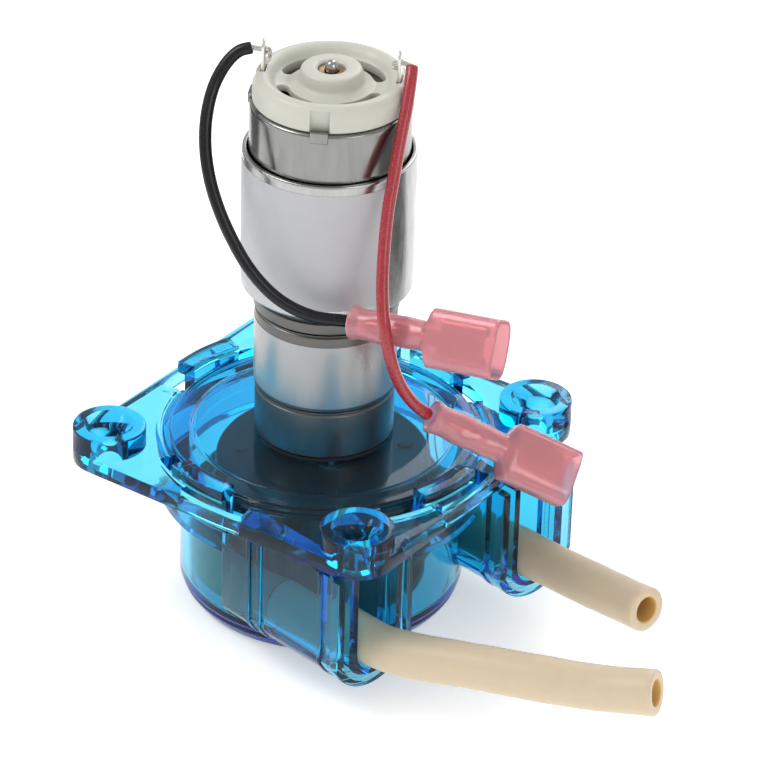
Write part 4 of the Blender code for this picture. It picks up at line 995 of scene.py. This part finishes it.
@dataclass
class Head:
    """Clear cup with its collar, two ribbed ports, four lock lugs and a raceway."""

    cup: float = 22.3
    raceway: float = 21.0
    floor: float = 2.6
    collar: float = 25.6
    collar_bottom: float = 18.1
    top: float = 25.0
    port_offset: float = 17.8
    port_half: float = 8.0
    port_end: float = 29.6
    port_spring: float = 8.9
    tube_line: float = 17.5
    tube_level: float = 10.4
    channel: float = 4.05

    def u_outline(self, half: float, top: float, spring: float, sag: float, count: int = 25) -> Array:
        """A U with straight sides and a round bottom that dips by the sag."""
        radius = (half * half + sag * sag) / (2 * sag)
        spread = math.asin(half / radius)
        angle = np.linspace(-math.pi / 2 - spread, -math.pi / 2 + spread, count)
        bottom = np.stack([radius * np.cos(angle), spring - sag + radius + radius * np.sin(angle)], -1)
        return np.vstack([[half, top], [-half, top], bottom])

    def port_lay(self, side: int, shift: float = 0.0) -> Matrix:
        """Lay an outline of (across, up) down a port, extruded along the head's own X."""
        lay = Matrix(((0, 0, 1, 0), (1, 0, 0, side * (self.port_offset - shift)), (0, 1, 0, 0), (0, 0, 0, 1)))
        return about(HEAD_DEGREES) @ lay

    def port_parts(self, side: int) -> list[Piece]:
        """A port's block, the thick lip round its mouth and the ribs down its outer side."""
        lay, half, top, end = self.port_lay(side), self.port_half, self.top, self.port_end
        parts = [
            extruded(f"port_{side}", self.u_outline(half - 0.35, top - 0.1, self.port_spring, 5.0),
                     4.0, end - 0.4, 0.2, lay),
            extruded(f"lip_{side}", self.u_outline(half, top - 0.15, self.port_spring, 5.3),
                     end - 1.7, end, 0.3, lay),
        ]
        rib = self.u_outline(half - 0.06, top - 0.22, self.port_spring, 5.24)
        return parts + [extruded(f"rib_{side}_{index}", rib, along, along + 0.9, 0.2, lay)
                        for index, along in enumerate((9.5, 11.8, 25.0))]

    def lug_parts(self, quarter: int) -> list[Piece]:
        """A lug: the stem up through its slot and the hook over the flange, both eased."""
        base, half = quarter * 90.0 + 0.3, 11.3
        turn = about(HEAD_DEGREES)
        stem = np.vstack([arc(26.4, base - half, base + half, 9), arc(24.5, base + half, base - half, 9)])
        wide = half + 0.12
        hook = np.vstack([arc(27.7, base - wide, base + wide, 9), arc(24.47, base + wide, base - wide, 9)])
        return [extruded(f"stem_{quarter}", stem, 22.3, 29.5, 0.15, turn),
                extruded(f"hook_{quarter}", hook, 28.3, 30.5, 0.25, turn)]

    def cutters(self, side: int) -> list[Piece]:
        """What is cut from a port: tube channel, room for the squeezed tube, mouth groove."""
        shift = self.port_offset - self.tube_line
        lay, tube_lay = self.port_lay(side), self.port_lay(side, shift)
        end, spring = self.port_end, self.port_spring
        tube_u = self.u_outline(self.channel, self.top + 1.0, self.tube_level, self.channel * 0.98)
        squeezed = np.array([[-3.8, 4.85], [3.8, 4.85], [3.8, 25.6], [-3.8, 25.6]])
        outer = extruded(f"groove_{side}", self.u_outline(6.6, self.top + 1.0, spring, 4.3),
                         end - 4.5, end + 1.0, 0.0, lay)
        core = extruded(f"core_{side}", self.u_outline(5.5, self.top + 2.0, spring, 3.3),
                        end - 5.5, end + 2.0, 0.0, lay)
        return [extruded(f"channel_{side}", tube_u, 3.0, end + 1.0, 0.0, tube_lay),
                extruded(f"pocket_{side}", squeezed, 2.0, 11.1, 0.0, tube_lay),
                shaped(outer, [core], "DIFFERENCE")]

    def build(self) -> None:
        """Cup, ports and lugs joined, then the cavity and channels cut."""
        body = softened([
            (0.0, 24.95), (self.collar, 24.95, 0.3), (self.collar, self.collar_bottom, 0.3),
            (self.cup + 0.6, self.collar_bottom, 0.5), (self.cup, 17.0, 0.5), (self.cup, 3.4, 0.4),
            (self.cup - 0.4, 3.0, 0.2), (self.cup - 0.4, 2.2, 0.4), (self.cup - 1.6, 0.4, 0.5),
            (self.cup - 2.4, 0.0, 0.4), (0.0, 0.0),
        ])
        cup = turned("clear_pump_cup", body, 160)
        parts = [part for side in (-1, 1) for part in self.port_parts(side)]
        parts += [part for quarter in range(4) for part in self.lug_parts(quarter)]
        shaped(cup, parts, "UNION")
        cavity = softened([
            (0.0, 26.5), (self.raceway, 26.5), (self.raceway, 4.0, 0.6), (20.0, 3.3, 0.3), (18.4, 3.2, 0.2),
            (18.2, self.floor, 0.2), (0.0, self.floor),
        ])
        cuts = [turned("cavity", cavity, 160)]
        cuts += [cut for side in (-1, 1) for cut in self.cutters(side)]
        shaped(cup, cuts, "DIFFERENCE")
        tidy(cup, 28.0)
        finish_piece(cup, Body.HEAD, CLEAR_BLUE, ["pump_housing"])


# Rotor

@dataclass
class Rotor:
    """Black roller carrier; the four rollers are the frame's own."""

    radius: float = 16.4

    def build(self) -> None:
        """Upper plate with its hub, and the lower plate."""
        rim = self.radius
        turned_piece("roller_carrier", [
            (2.3, 24.0), (5.4, 24.0, 0.3), (5.8, 23.2, 0.3), (15.6, 23.2, 0.4), (rim, 22.6, 0.3),
            (rim, 20.8, 0.3), (6.4, 20.8, 0.3), (6.4, 4.9, 0.3), (2.3, 4.9),
        ], 96, Body.ROTOR, ROTOR_BLACK, "rotor_frame")
        turned_piece("roller_lower_plate", [
            (2.0, 4.6), (rim - 0.2, 4.6, 0.3), (rim, 4.3, 0.1), (rim, 3.2, 0.3), (2.0, 3.2),
        ], 96, Body.ROTOR, ROTOR_BLACK, "rotor_lower_plate")


# Gearbox and motor

@dataclass
class Gearmotor:
    """Planetary gearbox, motor can, flux sleeve, labels and the moulded end cap."""

    gearbox: float = 10.98
    sleeve: float = 13.2
    notch_turn: float = 28.0
    terminal_turns: tuple[float, float] = (28.0, 208.0)

    def wrapped_label(self, name: str, radius: float, spans: tuple[float, ...], finish: Finish) -> None:
        """A thin sheet on a cylinder: two skins over (angle, level) joined round the rim."""
        first, last, low, high = spans
        rows, columns = 14, 120
        count = rows * columns
        turn = np.radians(np.linspace(first, last, columns))
        level = np.repeat(np.linspace(low, high, rows)[:, None], columns, 1)
        face = np.full((rows, columns), 0.07)
        face[[0, -1], :] = face[:, [0, -1]] = 0.045
        skins = [np.stack([(radius + lift) * np.cos(turn), (radius + lift) * np.sin(turn), level], -1)
                 for lift in (face, np.full_like(face, 0.01))]
        grid = lattice(rows, columns)
        index = np.arange(count).reshape(rows, columns)
        rim = np.concatenate([index[0], index[1:, -1], index[-1, -2::-1], index[-2:0:-1, 0]])
        ahead = np.roll(rim, -1)
        walls = np.stack([rim, ahead, ahead + count, rim + count], -1)
        faces = np.concatenate([grid, grid[:, ::-1] + count, walls])
        made = tidy(skin(name, np.stack(skins), faces.tolist()), 40.0)
        finish_piece(made, Body.DRIVE, finish)

    def build_gearbox(self) -> None:
        """Front housing, ring gear body with fine turned grooves, and the adaptor ring."""
        for name, node, corners in (
            ("gearbox_nose", "gearbox_front_housing", [
                (10.3, 29.0, 0.2), (10.8, 29.3, 0.15), (10.8, 36.5, 0.1), (10.6, 36.7, 0.05),
                (10.8, 36.9, 0.05), (10.8, 37.2, 0.05), (5.0, 37.2), (5.0, 30.5), (3.2, 30.5),
                (3.2, 25.5), (4.1, 25.5), (4.1, 29.0),
            ]),
            ("gearbox_body", "ring_gear", [
                (10.75, 37.3), (10.98, 37.55, 0.1), (10.98, 50.4, 0.1), (10.75, 50.6, 0.05),
                (10.98, 50.8, 0.05), (10.98, 50.95, 0.05), (10.6, 51.05), (9.6, 51.05), (9.6, 37.3),
            ]),
            ("gearbox_collar", "gearbox_adaptor", [
                (10.9, 51.1), (11.25, 51.4, 0.1), (11.25, 53.0, 0.1), (10.9, 53.3, 0.1), (11.25, 53.6, 0.1),
                (11.25, 54.8), (6.0, 54.8), (6.0, 51.1),
            ]),
        ):
            turned_piece(name, corners, 128, Body.DRIVE, DARK_STEEL, node)
        self.wrapped_label("gearbox_label", self.gearbox, (-168.0, 20.0, 38.1, 48.9), FOIL)

    def build_case(self) -> None:
        """Can with its rolled rim and foot, the split flux sleeve and the motor label."""
        turned_piece("motor_case", [
            (11.4, 85.7), (11.6, 85.75, 0.1), (12.15, 85.5, 0.25), (12.2, 84.9, 0.15), (12.2, 56.3, 0.4),
            (11.2, 55.1, 0.3), (3.4, 55.1), (3.4, 55.9), (11.4, 55.9),
        ], 144, Body.DRIVE, CAN_STEEL, "motor_can")
        sleeve = softened([
            (12.5, 77.7, 0.1), (13.1, 77.7, 0.12), (13.2, 77.4, 0.1), (13.2, 55.2, 0.1), (13.1, 54.9, 0.12),
            (12.5, 54.9, 0.1),
        ], closed=True)
        ring = turned("flux_ring", sleeve, 160, hollow=True)
        seam = extruded("sleeve_seam", oblong(12.9, 14.0, 0.12), 50.0, 80.0, 0.0, about(75.0))
        shaped(ring, [seam], "DIFFERENCE")
        tidy(ring)
        finish_piece(ring, Body.DRIVE, SLEEVE_STEEL, ["flux_sleeve"])
        self.wrapped_label("motor_label", self.sleeve, (-176.0, -12.0, 56.6, 76.2), PAPER)

    def build_tabs(self) -> None:
        """Four bright tabs of the can bent over in the cap's notches."""
        outline = softened([(11.45, -1.35, 0.1), (12.36, -1.35, 0.2), (12.36, 1.35, 0.2), (11.45, 1.35, 0.1)],
                           closed=True)
        tabs = [extruded(f"crimp_tab_{quarter}", outline, 84.4, 86.25, 0.18,
                         about(self.notch_turn + 90.0 * quarter)) for quarter in range(4)]
        joined = join_parts(tabs[0], tabs[1:])
        joined.name = "crimp_tabs"
        finish_piece(joined, Body.DRIVE, CAN_STEEL)

    def build_cap(self) -> None:
        """Moulded end cap: dished web with four arc vents, round rim with four notches."""
        profile = softened([
            (2.1, 90.7), (2.5, 91.0, 0.2), (4.4, 91.0, 0.45), (4.75, 90.3, 0.4), (4.9, 88.9, 0.35),
            (6.5, 88.1, 0.4), (8.4, 88.3, 0.5), (9.2, 89.5, 0.5), (10.2, 90.0, 0.5), (11.2, 89.7, 0.5),
            (11.75, 88.6, 0.6), (11.8, 86.0, 0.05), (11.3, 86.0), (11.3, 83.8), (9.4, 83.8),
            (9.4, 87.1, 0.3), (2.9, 87.1), (2.9, 89.6), (2.1, 89.9),
        ], closed=True)
        cap = turned("motor_end_cap", profile, 160, hollow=True)
        cuts = []
        span, inner, outer = 24.0, 6.45, 8.35
        width, circle = (outer - inner) / 2, (outer + inner) / 2
        for quarter in range(4):
            notch = self.notch_turn + 90.0 * quarter
            middle = notch + 45.0
            ends = []
            for side in (1, -1):
                turn = math.radians(middle + side * span)
                first = middle + (side - 1) * 90.0
                centre = (circle * math.cos(turn), circle * math.sin(turn))
                ends.append(arc(width, first, first + 180.0, 9, centre))
            outline = np.vstack([arc(outer, middle - span, middle + span, 15)[1:-1], ends[0],
                                 arc(inner, middle + span, middle - span, 15)[1:-1], ends[1]])
            cuts.append(extruded(f"vent_{quarter}", outline, 80.0, 95.0))
            cuts.append(extruded(f"notch_{quarter}", oblong(11.1, 13.0, 1.5), 82.0, 89.4, 0.0, about(notch)))
        for degrees in self.terminal_turns:
            cuts.append(extruded("terminal_slot", oblong(9.8, 10.6, 1.4), 80.0, 95.0, 0.0, about(degrees)))
        shaped(cap, cuts, "DIFFERENCE")
        eased(cap, 0.10, 40.0)
        finish_piece(cap, Body.DRIVE, NYLON, ["end_cap"])
        turned_piece("motor_spindle", [
            (0.0, 92.0), (0.5, 91.95, 0.2), (0.95, 91.4, 0.35), (1.0, 90.9, 0.2), (1.0, 48.4), (0.0, 48.4),
        ], 48, Body.ARMATURE, SHAFT_STEEL, "motor_shaft", hollow=False)
        turned_piece("rear_oil_bushing", [
            (1.15, 90.35), (2.0, 90.5, 0.2), (2.05, 90.2), (2.6, 89.4), (2.6, 87.0), (1.15, 87.0),
        ], 48, Body.DRIVE, BRONZE, "rear_bushing")

    def build_terminals(self) -> None:
        """Two tinned blades with rounded tips and an eyelet each."""
        outline = np.vstack([[[-1.15, 87.0], [1.15, 87.0]], arc(1.15, 0.0, 180.0, 15, (0.0, 93.45))])
        upright = Matrix(((0, 0, 1, 0), (1, 0, 0, 0), (0, 1, 0, 0), (0, 0, 0, 1)))
        for name, degrees in zip(("right", "left"), self.terminal_turns):
            lay = about(degrees) @ upright
            blade = extruded(f"{name}_terminal_blade", outline, 9.97, 10.43, 0.06, lay)
            eye = extruded(f"{name}_eye", arc(0.55, 0.0, 345.0, 24, (0.0, 92.7)), 9.0, 11.0, 0.0, lay)
            shaped(blade, [eye], "DIFFERENCE")
            tidy(blade)
            finish_piece(blade, Body.DRIVE, TINNED, [f"terminal_{name}"])

    def build(self) -> None:
        """Everything above the flange's disc."""
        self.build_gearbox()
        self.build_case()
        self.build_tabs()
        self.build_cap()
        self.build_terminals()


# Frame nodes that stay

KEPT_NODES: dict[str, Finish] = {
    "seat_gasket": RUBBER, "output_bushing": BRONZE, "output_shaft": SHAFT_STEEL,
    "planet_carrier_1": GEAR_STEEL, "planet_carrier_2": GEAR_STEEL, "motor_pinion": BRONZE,
    "front_bushing": BRONZE, "magnet_left": MAGNET, "magnet_right": MAGNET, "armature_core": GEAR_STEEL,
    "armature_windings": COPPER, "commutator": COPPER, "brush_left": MAGNET, "brush_right": MAGNET,
}


def dress_kept_nodes() -> None:
    """Give every frame node that stays its finish."""
    chosen = dict(KEPT_NODES)
    chosen.update({f"planet_{stage}_{k}": GEAR_STEEL for stage in (1, 2, 3) for k in (1, 2, 3)})
    chosen.update({f"gearbox_screw_{k}": SHAFT_STEEL for k in (1, 2, 3, 4)})
    chosen.update({f"{kind}_{k}": ROTOR_BLACK for kind in ("roller", "roller_pin") for k in (1, 2, 3, 4)})
    for name, finish in chosen.items():
        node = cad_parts[name]
        node.data.materials.clear()
        node.data.materials.append(finish.material())
        LOG.info("%s keeps its frame mesh, dressed in %s", name, finish.name)


def main() -> None:
    """Build the pieces in order, camera and cords first."""
    logging.basicConfig(level=logging.INFO, format="%(message)s")
    studio = Studio()
    studio.place_camera()
    tubing = Tubing()
    tubing.build()
    Leads().build()
    studio.build()
    tubing.build_loop()
    Flange().build()
    Head().build()
    Rotor().build()
    Gearmotor().build()
    dress_kept_nodes()


if __name__ == "__main__":
    main()
